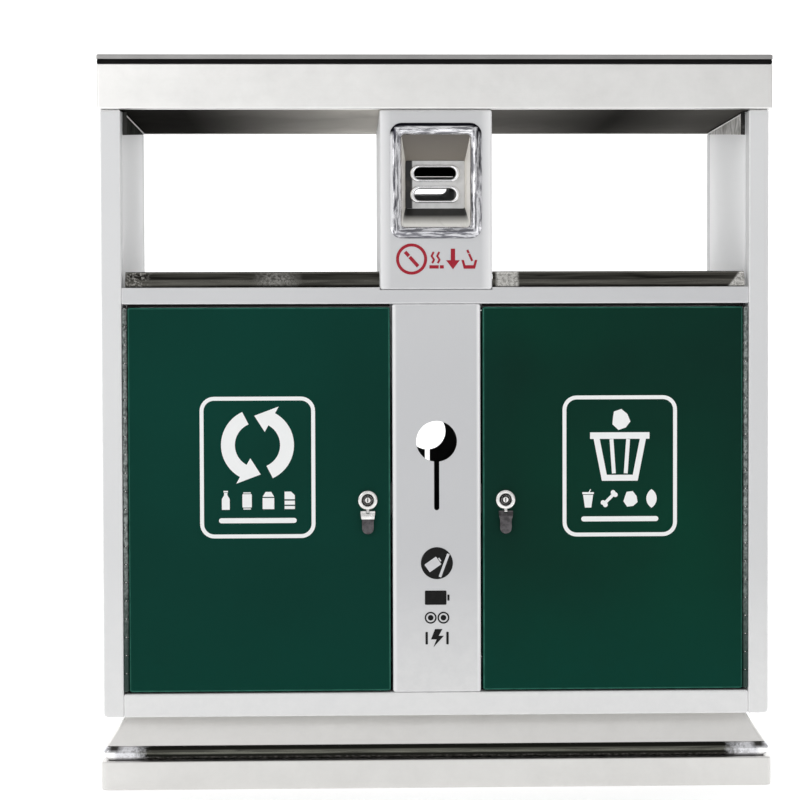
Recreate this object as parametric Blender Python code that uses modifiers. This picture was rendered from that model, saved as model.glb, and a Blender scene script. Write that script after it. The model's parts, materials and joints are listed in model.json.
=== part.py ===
"""Two-compartment recycling bin station, in metres, +Z up, front towards -Y.

The body stands on a flared plinth and carries a box-shaped cap. Each side has a see-through
throw-in window above a green door or rear panel. The centre column holds an ashtray above
and a battery drop hole below, on both the front and the rear face. The origin is on the
ground under the middle of the station.
"""

import math

import bmesh
import bpy
from mathutils import Matrix, Vector

# Overall size
WIDTH = 0.900
DEPTH = 0.350
HEIGHT = 0.980

# Heights above the ground
BAND_TOP = 0.0388          # top of the plinth's upright band
BODY_BASE = 0.0955         # top of the plinth, underside of the body
DOOR_SILL = 0.127          # top of the bottom rails
DOOR_HEAD = 0.649          # underside of the middle rails
WINDOW_SILL = 0.671        # top of the middle rails
EAVES = 0.908              # underside of the cap
FASCIA_TOP = 0.967
SEAM_TOP = 0.9735
COLUMN_SPLICE = 0.6675     # seam between the middle rail and the upper column panel

# Half widths and half depths
BODY_X = 0.447
BODY_Y = 0.165
POST = 0.027
POST_INNER_X = BODY_X - POST
POST_INNER_Y = BODY_Y - POST
COLUMN_LOW_X = 0.059
COLUMN_HIGH_X = 0.075
PLINTH_X = 0.4495
PLINTH_TOP_INSET = 0.030
PLINTH_FLANGE = 0.025      # turned in along the ground, for anchors

# Sheet and clearances
SHEET = 0.0012
GAP = 0.0003               # between pieces that touch
RAIL_DEPTH = 0.025

# Doors
DOOR_FACE_Y = -0.163
DOOR_PAN = 0.018           # depth of a door's folded edge
DOOR_INNER_X = 0.062
DOOR_BOTTOM = 0.1292
DOOR_TOP = 0.6447
HINGE_R = 0.0034
HINGE_X = POST_INNER_X - GAP - HINGE_R
HINGE_Y = -0.1618
HINGE_LEAF = 0.001
PIN_R = 0.0012
KNUCKLES = 21
DOOR_OUTER_X = HINGE_X - HINGE_R - GAP

# Locks
LOCK_X = 0.0925
LOCK_Z = 0.386
BEZEL_R = 0.0133
BARREL_R = 0.0095
PLUG_R = 0.0062
BEZEL_FACE_Y = -0.1680
BARREL_BACK_Y = -0.1415
PLUG_BACK_Y = -0.1392
CAM_LENGTH = 0.028
CAM_WIDTH = 0.013
FLAP_PIVOT_Z = LOCK_Z - 0.0152
FLAP_PIVOT_Y = -0.1697
FLAP_LENGTH = 0.0300

# Ashtray inserts, given for the front face
ASH_FLANGE = (0.123, 0.154)
ASH_FLANGE_Z = 0.813
ASH_OPENING = (0.096, 0.1255)
ASH_OPENING_Z = 0.81125
ASH_BACK = (0.080, 0.064)
ASH_BACK_Z = 0.810
ASH_FACE_Y = -0.1668
ASH_BACK_Y = -0.1350
ASH_SLOT = (0.066, 0.019)
ASH_SLOT_Z = (0.7965, 0.825)
ASH_TRAY_REACH = 0.060

# Battery drop hole and box
BATTERY_Z = 0.4646
BATTERY_R = 0.0273
BATTERY_SLOT = 0.007
BATTERY_SLOT_BOTTOM = 0.372

# Liner buckets
BUCKET_X = 0.2395
BUCKET_TOP = (0.150, 0.118)
BUCKET_FOOT = (0.136, 0.104)
BUCKET_BASE = 0.0975
BUCKET_RIM = 0.560
BAIL_R = 0.003
BAIL_Z = BUCKET_RIM + 0.0050

SIDES = (("left", -1.0), ("right", 1.0))
FACES = (("front", 1.0), ("rear", -1.0))
ALONG = {
    "X": Matrix.Rotation(math.radians(90.0), 4, "Y"),
    "Y": Matrix.Rotation(math.radians(90.0), 4, "X"),
    "Z": Matrix.Identity(4),
}


# ---------------------------------------------------------------- scene and materials

def new_collection(name):
    collection = bpy.data.collections.new(name)
    bpy.context.scene.collection.children.link(collection)
    return collection


def new_material(name, colour, roughness, metallic):
    material = bpy.data.materials.new(name)
    material.use_nodes = True
    shader = material.node_tree.nodes["Principled BSDF"]
    shader.inputs["Base Color"].default_value = (*colour, 1.0)
    shader.inputs["Roughness"].default_value = roughness
    shader.inputs["Metallic"].default_value = metallic
    return material


for old in list(bpy.data.objects):
    bpy.data.objects.remove(old, do_unlink=True)

PARTS = new_collection("recycling_bin_station")
CUTTERS = new_collection("cutters")

FINISHES = {
    "brushed_stainless": ((0.80, 0.79, 0.77), 0.32, 1.0),
    "polished_stainless": ((0.55, 0.54, 0.52), 0.14, 1.0),
    "silver_paint": ((0.63, 0.63, 0.65), 0.45, 0.25),
    "green_paint": ((0.006, 0.042, 0.030), 0.35, 0.0),
    "galvanised": ((0.52, 0.54, 0.56), 0.42, 0.9),
    "zinc_lock": ((0.70, 0.70, 0.70), 0.22, 1.0),
    "black_rubber": ((0.012, 0.012, 0.012), 0.60, 0.0),
}


# ---------------------------------------------------------------- placing

def world_place(obj):
    """Location in the world; no parent on this model is turned."""
    total = obj.location.copy()
    while obj.parent:
        obj = obj.parent
        total += obj.location
    return total


def put(obj, place, parent=None):
    obj.parent = parent
    obj.location = Vector(place) - (world_place(parent) if parent else Vector())
    return obj


def axis_empty(name, place, parent=None):
    empty = bpy.data.objects.new(name, None)
    empty.empty_display_size = 0.03
    PARTS.objects.link(empty)
    return put(empty, place, parent)


def mesh_object(name, bm, place=(0, 0, 0), finish=None, parent=None):
    """Object from a bmesh given about its own origin. With no finish it is a cutter.

    Closed shapes get their faces turned outwards; an open sheet keeps the side it was made with.
    """
    bm.normal_update()
    if not any(edge.is_boundary for edge in bm.edges):
        bmesh.ops.recalc_face_normals(bm, faces=bm.faces)
    mesh = bpy.data.meshes.new(name)
    bm.to_mesh(mesh)
    bm.free()
    obj = bpy.data.objects.new(name, mesh)
    if finish is None:
        CUTTERS.objects.link(obj)
        obj.hide_render = True
        obj.display_type = "WIRE"
    else:
        PARTS.objects.link(obj)
        settings = FINISHES[finish]
        mesh.materials.append(new_material(name, *settings))
    return put(obj, place, parent)


# ---------------------------------------------------------------- shapes

def cube_mesh(low, high):
    low, high = Vector(low), Vector(high)
    size = high - low
    bm = bmesh.new()
    bmesh.ops.create_cube(bm, size=1.0, matrix=Matrix.Diagonal((*size, 1.0)))
    return bm, (low + high) / 2


def bevel_edges(bm, edges, width, segments):
    bmesh.ops.bevel(bm, geom=edges, offset=width, segments=segments, profile=0.5,
                    affect="EDGES", clamp_overlap=True)


def box(name, low, high, finish=None, parent=None, bevel=0.0, segments=2):
    bm, centre = cube_mesh(low, high)
    if bevel:
        bevel_edges(bm, list(bm.edges), bevel, segments)
    return mesh_object(name, bm, centre, finish, parent)


def cylinder(name, centre, radius, length, along="Z", finish=None, parent=None, segments=24):
    bm = bmesh.new()
    bmesh.ops.create_cone(bm, cap_ends=True, segments=segments, radius1=radius,
                          radius2=radius, depth=length, matrix=ALONG[along])
    return mesh_object(name, bm, centre, finish, parent)


def lift(bm, outline, to_space, low, high):
    """Add a prism to bm: a flat outline carried from low to high by to_space(a, b, t)."""
    verts = [bm.verts.new(to_space(a, b, low)) for a, b in outline]
    face = bm.faces.new(verts)
    grown = bmesh.ops.extrude_face_region(bm, geom=[face])["geom"]
    shift = Vector(to_space(0, 0, high)) - Vector(to_space(0, 0, low))
    moved = [item for item in grown if isinstance(item, bmesh.types.BMVert)]
    bmesh.ops.translate(bm, verts=moved, vec=shift)


PLANES = {
    "X": lambda a, b, t: (t, a, b),
    "Y": lambda a, b, t: (a, t, b),
    "Z": lambda a, b, t: (a, b, t),
}


def prism(name, outline, along, low, high, place=(0, 0, 0), finish=None, parent=None):
    """Flat closed outline about place, carried along one axis from low to high."""
    bm = bmesh.new()
    lift(bm, outline, PLANES[along], low, high)
    return mesh_object(name, bm, place, finish, parent)


def folded_strip(name, fold, along, low, high, thickness, finish, place=(0, 0, 0), parent=None):
    """Sheet bent along an open line of points, which is its middle surface."""
    bm = bmesh.new()
    to_space = PLANES[along]
    rows = [[bm.verts.new(to_space(a, b, t)) for a, b in fold] for t in (low, high)]
    for i in range(len(fold) - 1):
        bm.faces.new((rows[0][i], rows[0][i + 1], rows[1][i + 1], rows[1][i]))
    obj = mesh_object(name, bm, place, finish, parent)
    thicken(obj, thickness, 0.0)
    return obj


def thicken(obj, thickness, offset):
    solid = obj.modifiers.new("sheet", "SOLIDIFY")
    solid.thickness = thickness
    solid.offset = offset
    solid.use_even_offset = True
    return obj


def pan(name, low, high, open_side, finish, parent=None, thickness=SHEET, bevel=0.002):
    """Folded sheet box, open on one side ('+Y', '-Y', '+Z' or '-Z'), with rounded folds."""
    bm, centre = cube_mesh(low, high)
    axis = "XYZ".index(open_side[1])
    sign = 1.0 if open_side[0] == "+" else -1.0
    lid = [face for face in bm.faces if face.normal[axis] * sign > 0.5]
    bmesh.ops.delete(bm, geom=lid, context="FACES_ONLY")
    folds = [edge for edge in bm.edges if not edge.is_boundary]
    bevel_edges(bm, folds, bevel, 2)
    obj = mesh_object(name, bm, centre, finish, parent)
    return thicken(obj, thickness, -1.0)


def rounded_rectangle(half_a, half_b, radius, steps=4):
    """Points round a rectangle with arc corners, centred on zero."""
    points = []
    for quarter, (sa, sb) in enumerate(((1, 1), (-1, 1), (-1, -1), (1, -1))):
        for step in range(steps + 1):
            turn = math.radians(90.0 * (quarter + step / steps))
            points.append((sa * (half_a - radius) + radius * math.cos(turn),
                           sb * (half_b - radius) + radius * math.sin(turn)))
    return points


def loft(name, sections, finish, closed_low=False, closed_high=False, parent=None):
    """Skin over rounded rectangles (half_x, half_y, radius, z), listed upwards."""
    bm = bmesh.new()
    rings = []
    for half_x, half_y, radius, z in sections:
        outline = rounded_rectangle(half_x, half_y, radius)
        rings.append([bm.verts.new((a, b, z)) for a, b in outline])
    count = len(rings[0])
    for lower, upper in zip(rings, rings[1:]):
        for i in range(count):
            j = (i + 1) % count
            bm.faces.new((lower[i], lower[j], upper[j], upper[i]))
    if closed_low:
        bm.faces.new(rings[0][::-1])
    if closed_high:
        bm.faces.new(rings[-1])
    return mesh_object(name, bm, (0, 0, 0), finish, parent)


def turned(name, profile, place, finish, parent=None, steps=32):
    """Closed profile (radius, distance towards the front) turned about the front axis."""
    mesh = bpy.data.meshes.new(name)
    count = len(profile)
    rim = [(i, (i + 1) % count) for i in range(count)]
    mesh.from_pydata([(r, 0.0, h) for r, h in profile], rim, [])
    obj = bpy.data.objects.new(name, mesh)
    PARTS.objects.link(obj)
    mesh.materials.append(new_material(name, *FINISHES[finish]))
    put(obj, place, parent)
    obj.rotation_euler = (math.radians(90.0), 0.0, 0.0)
    screw = obj.modifiers.new("turn", "SCREW")
    screw.axis = "Z"
    screw.angle = math.radians(360.0)
    screw.steps = steps
    screw.render_steps = steps
    screw.use_merge_vertices = True
    screw.merge_threshold = 0.00001
    return obj


def combine(obj, other, operation):
    step = obj.modifiers.new(operation.lower(), "BOOLEAN")
    step.operation = operation
    step.solver = "EXACT"
    step.object = other
    return obj


def cut(obj, cutter):
    return combine(obj, cutter, "DIFFERENCE")


def join(obj, addition):
    return combine(obj, addition, "UNION")


def mirrored_span(sign, near, far):
    """Low and high x of a span given by its distances from the middle plane."""
    return (near, far) if sign > 0 else (-far, -near)


def facing(sign, y_near, y_far):
    """Low and high y of a span given for the front face; sign -1 puts it on the rear."""
    return (y_near, y_far) if sign > 0 else (-y_far, -y_near)


# ---------------------------------------------------------------- plinth, frame and panels

def make_plinth():
    """Anchor flange, upright band, half-round bead in a recess, sloped skirt and flat top."""
    bead_low, bead_high = 0.0404, 0.0566
    outline = [(PLINTH_FLANGE, 0.0), (0.0, 0.0), (0.0, BAND_TOP - 0.0015), (0.0015, BAND_TOP),
               (0.0080, bead_low)]
    middle = (bead_low + bead_high) / 2
    radius = (bead_high - bead_low) / 2
    for step in range(1, 6):
        turn = math.radians(-90.0 + 180.0 * step / 6)
        outline.append((0.0080 - 0.75 * radius * math.cos(turn), middle + radius * math.sin(turn)))
    outline += [(0.0080, bead_high), (0.0065, bead_high + 0.0018),
                (PLINTH_TOP_INSET, BODY_BASE - 0.0008), (PLINTH_TOP_INSET + 0.002, BODY_BASE)]
    corner = 0.006
    sections = [(PLINTH_X - inset, DEPTH / 2 - inset, corner, z) for inset, z in outline]
    plinth = loft("plinth", sections, "brushed_stainless", closed_high=True)
    thicken(plinth, 0.0015, -1.0)


def make_posts():
    foot = 0.008
    for face, front in FACES:
        for side, sign in SIDES:
            x = mirrored_span(sign, POST_INNER_X, BODY_X)
            y = facing(front, -BODY_Y, -POST_INNER_Y)
            bm, centre = cube_mesh((x[0], y[0], BODY_BASE + GAP), (x[1], y[1], EAVES - GAP))
            outer_foot = [edge for edge in bm.edges
                          if all(v.co.z < 0 and v.co.x * sign > 0 for v in edge.verts)]
            bevel_edges(bm, outer_foot, 0.006, 4)
            post = mesh_object(f"post_{face}_{side}", bm, centre, "silver_paint")
            bore = box(f"cut_post_{face}_{side}",
                       (x[0] + SHEET, y[0] + SHEET, BODY_BASE + foot),
                       (x[1] - SHEET, y[1] - SHEET, EAVES + foot))
            cut(post, bore)


def make_side_walls():
    reach = POST_INNER_Y - GAP
    inset = 0.0005
    for side, sign in SIDES:
        x = mirrored_span(sign, BODY_X - inset - SHEET, BODY_X - inset)
        box(f"side_panel_{side}", (x[0], -reach, BODY_BASE + GAP), (x[1], reach, EAVES - GAP),
            "silver_paint")
        x = mirrored_span(sign, POST_INNER_X, POST_INNER_X + SHEET)
        box(f"window_liner_{side}", (x[0], -reach, DOOR_HEAD + GAP), (x[1], reach, EAVES - GAP),
            "silver_paint")
        gusset_x = mirrored_span(sign, POST_INNER_X - GAP - SHEET, POST_INNER_X - GAP)
        deep, shallow = 0.031, 0.003
        top = EAVES - GAP
        prism(f"eaves_gusset_{side}",
              [(-reach, top - deep), (reach, top - shallow), (reach, top), (-reach, top)],
              "X", gusset_x[0], gusset_x[1], finish="polished_stainless")


def channel(name, low, high, front, finish):
    """Rail of folded sheet, open towards the inside of the body."""
    rail = box(name, low, high, finish, bevel=0.0010, segments=2)
    inner_low = Vector(low) + Vector((-0.01, SHEET, SHEET))
    inner_high = Vector(high) + Vector((0.01, 0.01, -SHEET))
    if front < 0:
        inner_low.y = low[1] - 0.01
        inner_high.y = high[1] - SHEET
    return cut(rail, box(f"cut_{name}", inner_low, inner_high))


def make_rails():
    reach = POST_INNER_X - GAP
    for face, front in FACES:
        y = facing(front, -BODY_Y, -BODY_Y + RAIL_DEPTH)
        channel(f"bottom_rail_{face}", (-reach, y[0], BODY_BASE + GAP), (reach, y[1], DOOR_SILL),
                front, "silver_paint")
        y = facing(front, -BODY_Y, -BODY_Y + 0.022)
        rail = channel(f"mid_rail_{face}", (-reach, y[0], DOOR_HEAD), (reach, y[1], WINDOW_SILL),
                       front, "silver_paint")
        y = facing(front, -BODY_Y - 0.001, -BODY_Y + 0.0135)
        x = COLUMN_HIGH_X + GAP
        cut(rail, box(f"cut_splice_{face}", (-x, y[0], COLUMN_SPLICE),
                      (x, y[1], WINDOW_SILL + 0.001)))


def make_column():
    """Lower and upper column panels on both faces, with cheeks and partitions between."""
    for face, front in FACES:
        inward = "+Y" if front > 0 else "-Y"
        y = facing(front, -BODY_Y, -BODY_Y + RAIL_DEPTH)
        lower = pan(f"column_panel_{face}", (-COLUMN_LOW_X, y[0], DOOR_SILL + GAP),
                    (COLUMN_LOW_X, y[1], DOOR_HEAD - GAP), inward, "silver_paint")
        y_face = -front * BODY_Y
        cut(lower, cylinder(f"cut_battery_{face}", (0, y_face, BATTERY_Z), BATTERY_R, 0.02,
                            "Y", segments=36))
        half = BATTERY_SLOT / 2
        height = (BATTERY_Z - BATTERY_SLOT_BOTTOM) / 2
        slot = rounded_rectangle(half, height, half * 0.98, steps=3)
        cut(lower, prism(f"cut_battery_slot_{face}", slot, "Y", -0.01, 0.01,
                         (0, y_face, BATTERY_SLOT_BOTTOM + height)))
        y = facing(front, -BODY_Y, -BODY_Y + 0.012)
        upper = pan(f"ashtray_panel_{face}", (-COLUMN_HIGH_X, y[0], COLUMN_SPLICE + GAP),
                    (COLUMN_HIGH_X, y[1], EAVES - GAP), inward, "silver_paint")
        y = facing(front, -BODY_Y - 0.002, -BODY_Y + 0.004)
        cut(upper, box(f"cut_ashtray_{face}", (-0.056, y[0], 0.7405), (0.056, y[1], 0.8855)))
    cheek_y = BODY_Y - 0.012 - GAP
    wall_y = BODY_Y - RAIL_DEPTH - 2 * GAP
    for side, sign in SIDES:
        x = mirrored_span(sign, COLUMN_HIGH_X - SHEET, COLUMN_HIGH_X)
        box(f"column_cheek_{side}", (x[0], -cheek_y, WINDOW_SILL + GAP),
            (x[1], cheek_y, EAVES - GAP), "silver_paint")
        x = mirrored_span(sign, COLUMN_LOW_X - SHEET, COLUMN_LOW_X)
        box(f"partition_{side}", (x[0], -wall_y, BUCKET_BASE), (x[1], wall_y, DOOR_HEAD - GAP),
            "galvanised")


def make_floor_and_rear():
    inner_x, wall_x = POST_INNER_X - GAP, BODY_X - 0.0005 - SHEET - GAP
    rail_y, post_y = BODY_Y - RAIL_DEPTH - GAP, POST_INNER_Y - GAP
    quarter = [(wall_x, post_y), (inner_x, post_y), (inner_x, rail_y)]
    half = quarter + [(-x, y) for x, y in reversed(quarter)]
    prism("floor_pan", half + [(x, -y) for x, y in reversed(half)], "Z",
          BODY_BASE + GAP, BODY_BASE + GAP + SHEET, finish="galvanised")
    for side, sign in SIDES:
        x = mirrored_span(sign, DOOR_INNER_X, POST_INNER_X - 0.001)
        pan(f"rear_panel_{side}", (x[0], -DOOR_FACE_Y - DOOR_PAN, DOOR_BOTTOM),
            (x[1], -DOOR_FACE_Y, DOOR_TOP), "-Y", "green_paint")


def make_sill_guards():
    """Polished lips folded up and over along the lower edge of each window."""
    half = SHEET / 2
    fold = [(-0.1460, WINDOW_SILL + GAP + half), (-0.1612, WINDOW_SILL + GAP + half),
            (-0.1612, 0.6800), (-0.1556, 0.6915), (-0.1500, 0.6880)]
    for face, front in FACES:
        bent = [(front * y, z) for y, z in fold]
        for side, sign in SIDES:
            x = mirrored_span(sign, COLUMN_HIGH_X + 0.0008, POST_INNER_X - 0.005)
            folded_strip(f"sill_guard_{face}_{side}", bent, "X", x[0], x[1], SHEET,
                         "polished_stainless")


def make_cap():
    x, y = WIDTH / 2, DEPTH / 2
    pan("cap_fascia", (-x, -y, EAVES), (x, y, FASCIA_TOP), "+Z", "brushed_stainless")
    inset, strip = 0.0004, 0.012
    seam = box("cap_seam_strip", (-x + inset, -y + inset, FASCIA_TOP + GAP),
               (x - inset, y - inset, SEAM_TOP - GAP), "black_rubber")
    cut(seam, box("cut_cap_seam", (-x + strip, -y + strip, EAVES), (x - strip, y - strip, HEIGHT)))
    pan("cap_top", (-x, -y, SEAM_TOP), (x, y, HEIGHT), "-Z", "brushed_stainless", bevel=0.0015)


# ---------------------------------------------------------------- doors

def hinge_leaf(name, mine, other, toward_post, sign, parent):
    """Leaf plate with every second knuckle; toward_post is 1 for the frame's leaf."""
    low_z, high_z = DOOR_BOTTOM + 0.001, DOOR_TOP - 0.001
    pitch = (high_z - low_z) / KNUCKLES
    side = sign * toward_post
    near, far = HINGE_R - HINGE_LEAF, HINGE_R
    back = 0.0160 if toward_post < 0 else 0.0195
    span = sorted((side * near, side * far))
    leaf = box(name, (sign * HINGE_X + span[0], HINGE_Y + HINGE_R + 0.0002, low_z),
               (sign * HINGE_X + span[1], HINGE_Y + back, high_z), "galvanised", parent)
    strap_root = math.sqrt(far ** 2 - near ** 2)
    curl = [(far, HINGE_R + 0.0012), (far, 0.0)]
    stop = 2 * math.pi - math.asin(strap_root / far)
    steps = 12
    curl += [(far * math.cos(stop * i / steps), -far * math.sin(stop * i / steps))
             for i in range(1, steps + 1)]
    curl.append((near, HINGE_R + 0.0012))
    bm = bmesh.new()
    for knuckle in range(mine, KNUCKLES, other):
        bottom = low_z + knuckle * pitch + GAP
        lift(bm, [(side * a, b) for a, b in curl], PLANES["Z"], bottom, bottom + pitch - 2 * GAP)
    join(leaf, mesh_object(f"add_{name}", bm, (sign * HINGE_X, HINGE_Y, 0)))
    middle = (low_z + high_z) / 2
    cut(leaf, cylinder(f"cut_{name}", (sign * HINGE_X, HINGE_Y, middle), PIN_R + 0.0003,
                       high_z - low_z + 0.02, segments=12))
    return leaf


def make_lock(side, sign, door):
    """Cam lock: bezel and barrel on the door, a plug and cam that turn, a dust flap."""
    centre = (sign * LOCK_X, DOOR_FACE_Y, LOCK_Z)
    skin_gap = GAP
    face = DOOR_FACE_Y - BEZEL_FACE_Y
    back = DOOR_FACE_Y - BARREL_BACK_Y
    bore = PLUG_R + 0.0002
    body = turned(f"lock_body_{side}", [
        (bore, face), (BEZEL_R - 0.0015, face), (BEZEL_R, face - 0.0015), (BEZEL_R, skin_gap),
        (BARREL_R, skin_gap), (BARREL_R, back), (bore, back)], centre, "zinc_lock", door)
    ear_near, ear_far, ear_half = 0.0050, 0.0072, 0.0012
    tip, step, root = FLAP_PIVOT_Y - ear_half, BEZEL_FACE_Y + 0.0006, DOOR_FACE_Y - 0.0010
    low, knee, top = FLAP_PIVOT_Z - ear_half, FLAP_PIVOT_Z + ear_half, LOCK_Z - BEZEL_R + 0.004
    hook = [(tip, low), (root, low), (root, top), (step, top), (step, knee), (tip, knee)]
    for ear in (-1.0, 1.0):
        x = mirrored_span(ear, ear_near, ear_far)
        join(body, prism(f"add_ear_{side}_{'left' if ear < 0 else 'right'}", hook, "X",
                         x[0], x[1], (centre[0], 0, 0)))
    turn = axis_empty(f"lock_axis_{side}", centre, door)
    plug_face = BEZEL_FACE_Y + 0.0006
    length = PLUG_BACK_Y - plug_face
    plug = cylinder(f"lock_plug_{side}", (centre[0], (plug_face + PLUG_BACK_Y) / 2, LOCK_Z),
                    PLUG_R, length, "Y", "zinc_lock", turn)
    cut(plug, box(f"cut_key_{side}", (centre[0] - 0.0006, plug_face - 0.001, LOCK_Z - 0.0040),
                  (centre[0] + 0.0006, plug_face + 0.004, LOCK_Z + 0.0040)))
    half = CAM_WIDTH / 2
    reach = (CAM_LENGTH + half) / 2
    outline = rounded_rectangle(half, reach, half * 0.98)
    prism(f"lock_cam_{side}", outline, "Y", 0.0, 0.002,
          (centre[0], PLUG_BACK_Y + GAP, LOCK_Z + half - reach), "zinc_lock", turn)
    hang = axis_empty(f"flap_axis_{side}", (centre[0], FLAP_PIVOT_Y, FLAP_PIVOT_Z), door)
    top_half, low_half = 0.0098, 0.0078
    round_end = [(low_half * math.cos(math.pi * i / 10), -low_half * math.sin(math.pi * i / 10))
                 for i in range(11)]
    shoulder = -0.0022
    outline = [(top_half, shoulder)]
    outline += [(a, b - FLAP_LENGTH + low_half) for a, b in round_end]
    outline.append((-top_half, shoulder))
    knuckle = ear_near - GAP
    outline += [(-knuckle, shoulder), (-knuckle, 0.0), (knuckle, 0.0), (knuckle, shoulder)]
    flap = prism(f"lock_flap_{side}", outline, "Y", -0.0006, 0.0006,
                 (centre[0], FLAP_PIVOT_Y, FLAP_PIVOT_Z), "zinc_lock", hang)
    join(flap, cylinder(f"add_flap_{side}", (centre[0], FLAP_PIVOT_Y, FLAP_PIVOT_Z), 0.0011,
                        2 * knuckle, "X", segments=12))


def make_doors():
    for side, sign in SIDES:
        door = axis_empty(f"door_axis_{side}", (sign * HINGE_X, HINGE_Y, DOOR_BOTTOM))
        x = mirrored_span(sign, DOOR_INNER_X, DOOR_OUTER_X)
        skin = pan(f"door_skin_{side}", (x[0], DOOR_FACE_Y, DOOR_BOTTOM),
                   (x[1], DOOR_FACE_Y + DOOR_PAN, DOOR_TOP), "+Y", "green_paint", door)
        cut(skin, cylinder(f"cut_lock_{side}", (sign * LOCK_X, DOOR_FACE_Y, LOCK_Z),
                           BARREL_R + 0.0004, 0.01, "Y", segments=32))
        flange = DOOR_FACE_Y + SHEET + 0.0010
        crown = DOOR_FACE_Y + DOOR_PAN - 0.003
        hat = [(-0.022, flange), (-0.010, flange), (-0.010, crown),
               (0.010, crown), (0.010, flange), (0.022, flange)]
        middle = (x[0] + x[1]) / 2
        folded_strip(f"door_stiffener_{side}", hat, "Z", DOOR_BOTTOM + 0.008, DOOR_TOP - 0.008,
                     0.0010, "galvanised", (middle, 0, 0), door)
        hinge_leaf(f"hinge_leaf_door_{side}", 1, 2, -1, sign, door)
        hinge_leaf(f"hinge_leaf_frame_{side}", 0, 2, 1, sign, None)
        length = DOOR_TOP - DOOR_BOTTOM - 0.003
        cylinder(f"hinge_pin_{side}", (sign * HINGE_X, HINGE_Y, (DOOR_TOP + DOOR_BOTTOM) / 2),
                 PIN_R, length, finish="zinc_lock", segments=12)
        make_lock(side, sign, door)
        flange_y = PLUG_BACK_Y - 0.0014
        leg_x = COLUMN_LOW_X + GAP + SHEET / 2
        keeper = [(sign * 0.078, flange_y), (sign * leg_x, flange_y), (sign * leg_x, -0.118)]
        folded_strip(f"lock_keeper_{side}", keeper, "Z", LOCK_Z - 0.020, LOCK_Z + 0.020, SHEET,
                     "galvanised")


# ---------------------------------------------------------------- inside and ashtrays

def make_buckets():
    """Tapered galvanised liners with a turned-out rim and two ears for a wire bail."""
    ear_x = BUCKET_TOP[0] + 0.0005
    ear = 0.0015
    for side, sign in SIDES:
        corner = 0.020
        foot_x, foot_y = BUCKET_FOOT
        top_x, top_y = BUCKET_TOP
        rim = 0.006
        sections = [(foot_x - 0.006, foot_y - 0.006, corner, BUCKET_BASE),
                    (foot_x, foot_y, corner, BUCKET_BASE + 0.006),
                    (top_x, top_y, corner, BUCKET_RIM),
                    (top_x + rim, top_y + rim, corner + rim, BUCKET_RIM)]
        bucket = loft(f"bucket_{side}", sections, "galvanised", closed_low=True)
        bucket.location.x = sign * BUCKET_X
        thicken(bucket, 0.0010, -1.0)
        for end in (-1.0, 1.0):
            span = mirrored_span(end, ear_x, ear_x + ear)
            centre = sign * BUCKET_X
            where = "left" if end < 0 else "right"
            lug = box(f"add_lug_{side}_{where}", (centre + span[0], -0.010, BUCKET_RIM - 0.0008),
                      (centre + span[1], 0.010, BAIL_Z + 0.007))
            join(bucket, lug)
            cut(bucket, cylinder(f"cut_lug_{side}_{where}",
                                 (centre + end * (ear_x + ear / 2), 0, BAIL_Z),
                                 BAIL_R + 0.0006, 0.004, "X", segments=16))
        make_bail(side, sign, ear_x)


def make_bail(side, sign, ear_x):
    pivot = axis_empty(f"bail_axis_{side}", (sign * BUCKET_X, 0, BAIL_Z))
    arm, out, bend = ear_x - 0.006, ear_x + 0.006, 0.014
    front = -(BUCKET_TOP[1] + 0.001)
    route = [(out, 0.0), (arm + 0.002, 0.0), (arm, -0.002)]
    for step in range(5):
        turn = math.radians(90.0 * step / 4)
        route.append((arm - bend + bend * math.cos(turn), front + bend - bend * math.sin(turn)))
    route += [(-x, y) for x, y in reversed(route)]
    curve = bpy.data.curves.new(f"bail_{side}", "CURVE")
    curve.dimensions = "3D"
    curve.bevel_depth = BAIL_R
    curve.bevel_resolution = 2
    curve.use_fill_caps = True
    line = curve.splines.new("POLY")
    line.points.add(len(route) - 1)
    for point, (x, y) in zip(line.points, route):
        point.co = (x, y, 0.0, 1.0)
    curve.materials.append(new_material(f"bail_{side}", *FINISHES["galvanised"]))
    bail = bpy.data.objects.new(f"bail_{side}", curve)
    PARTS.objects.link(bail)
    put(bail, (sign * BUCKET_X, 0, BAIL_Z), pivot)


def make_battery_box():
    pan("battery_box", (-0.052, -0.130, BUCKET_BASE), (0.052, 0.130, 0.345), "+Z", "galvanised",
        thickness=0.001)


def funnel(name, front, face_y, grow, finish=None, parent=None):
    """Four-sided scoop that narrows from the ashtray's opening to its back plate."""
    def section(y):
        share = (y - ASH_FACE_Y) / (ASH_BACK_Y - ASH_FACE_Y)
        half_x = (ASH_OPENING[0] + (ASH_BACK[0] - ASH_OPENING[0]) * share) / 2 + grow
        half_z = (ASH_OPENING[1] + (ASH_BACK[1] - ASH_OPENING[1]) * share) / 2 + grow
        return half_x, half_z, ASH_OPENING_Z + (ASH_BACK_Z - ASH_OPENING_Z) * share

    back_y = ASH_BACK_Y + grow
    bm = bmesh.new()
    bmesh.ops.create_cube(bm, size=2.0)
    for vert in bm.verts:
        y = face_y if vert.co.y < 0 else back_y
        half_x, half_z, middle = section(y)
        vert.co = Vector((vert.co.x * half_x, front * y, middle + vert.co.z * half_z))
    return mesh_object(name, bm, (0, 0, 0), finish, parent)


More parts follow.
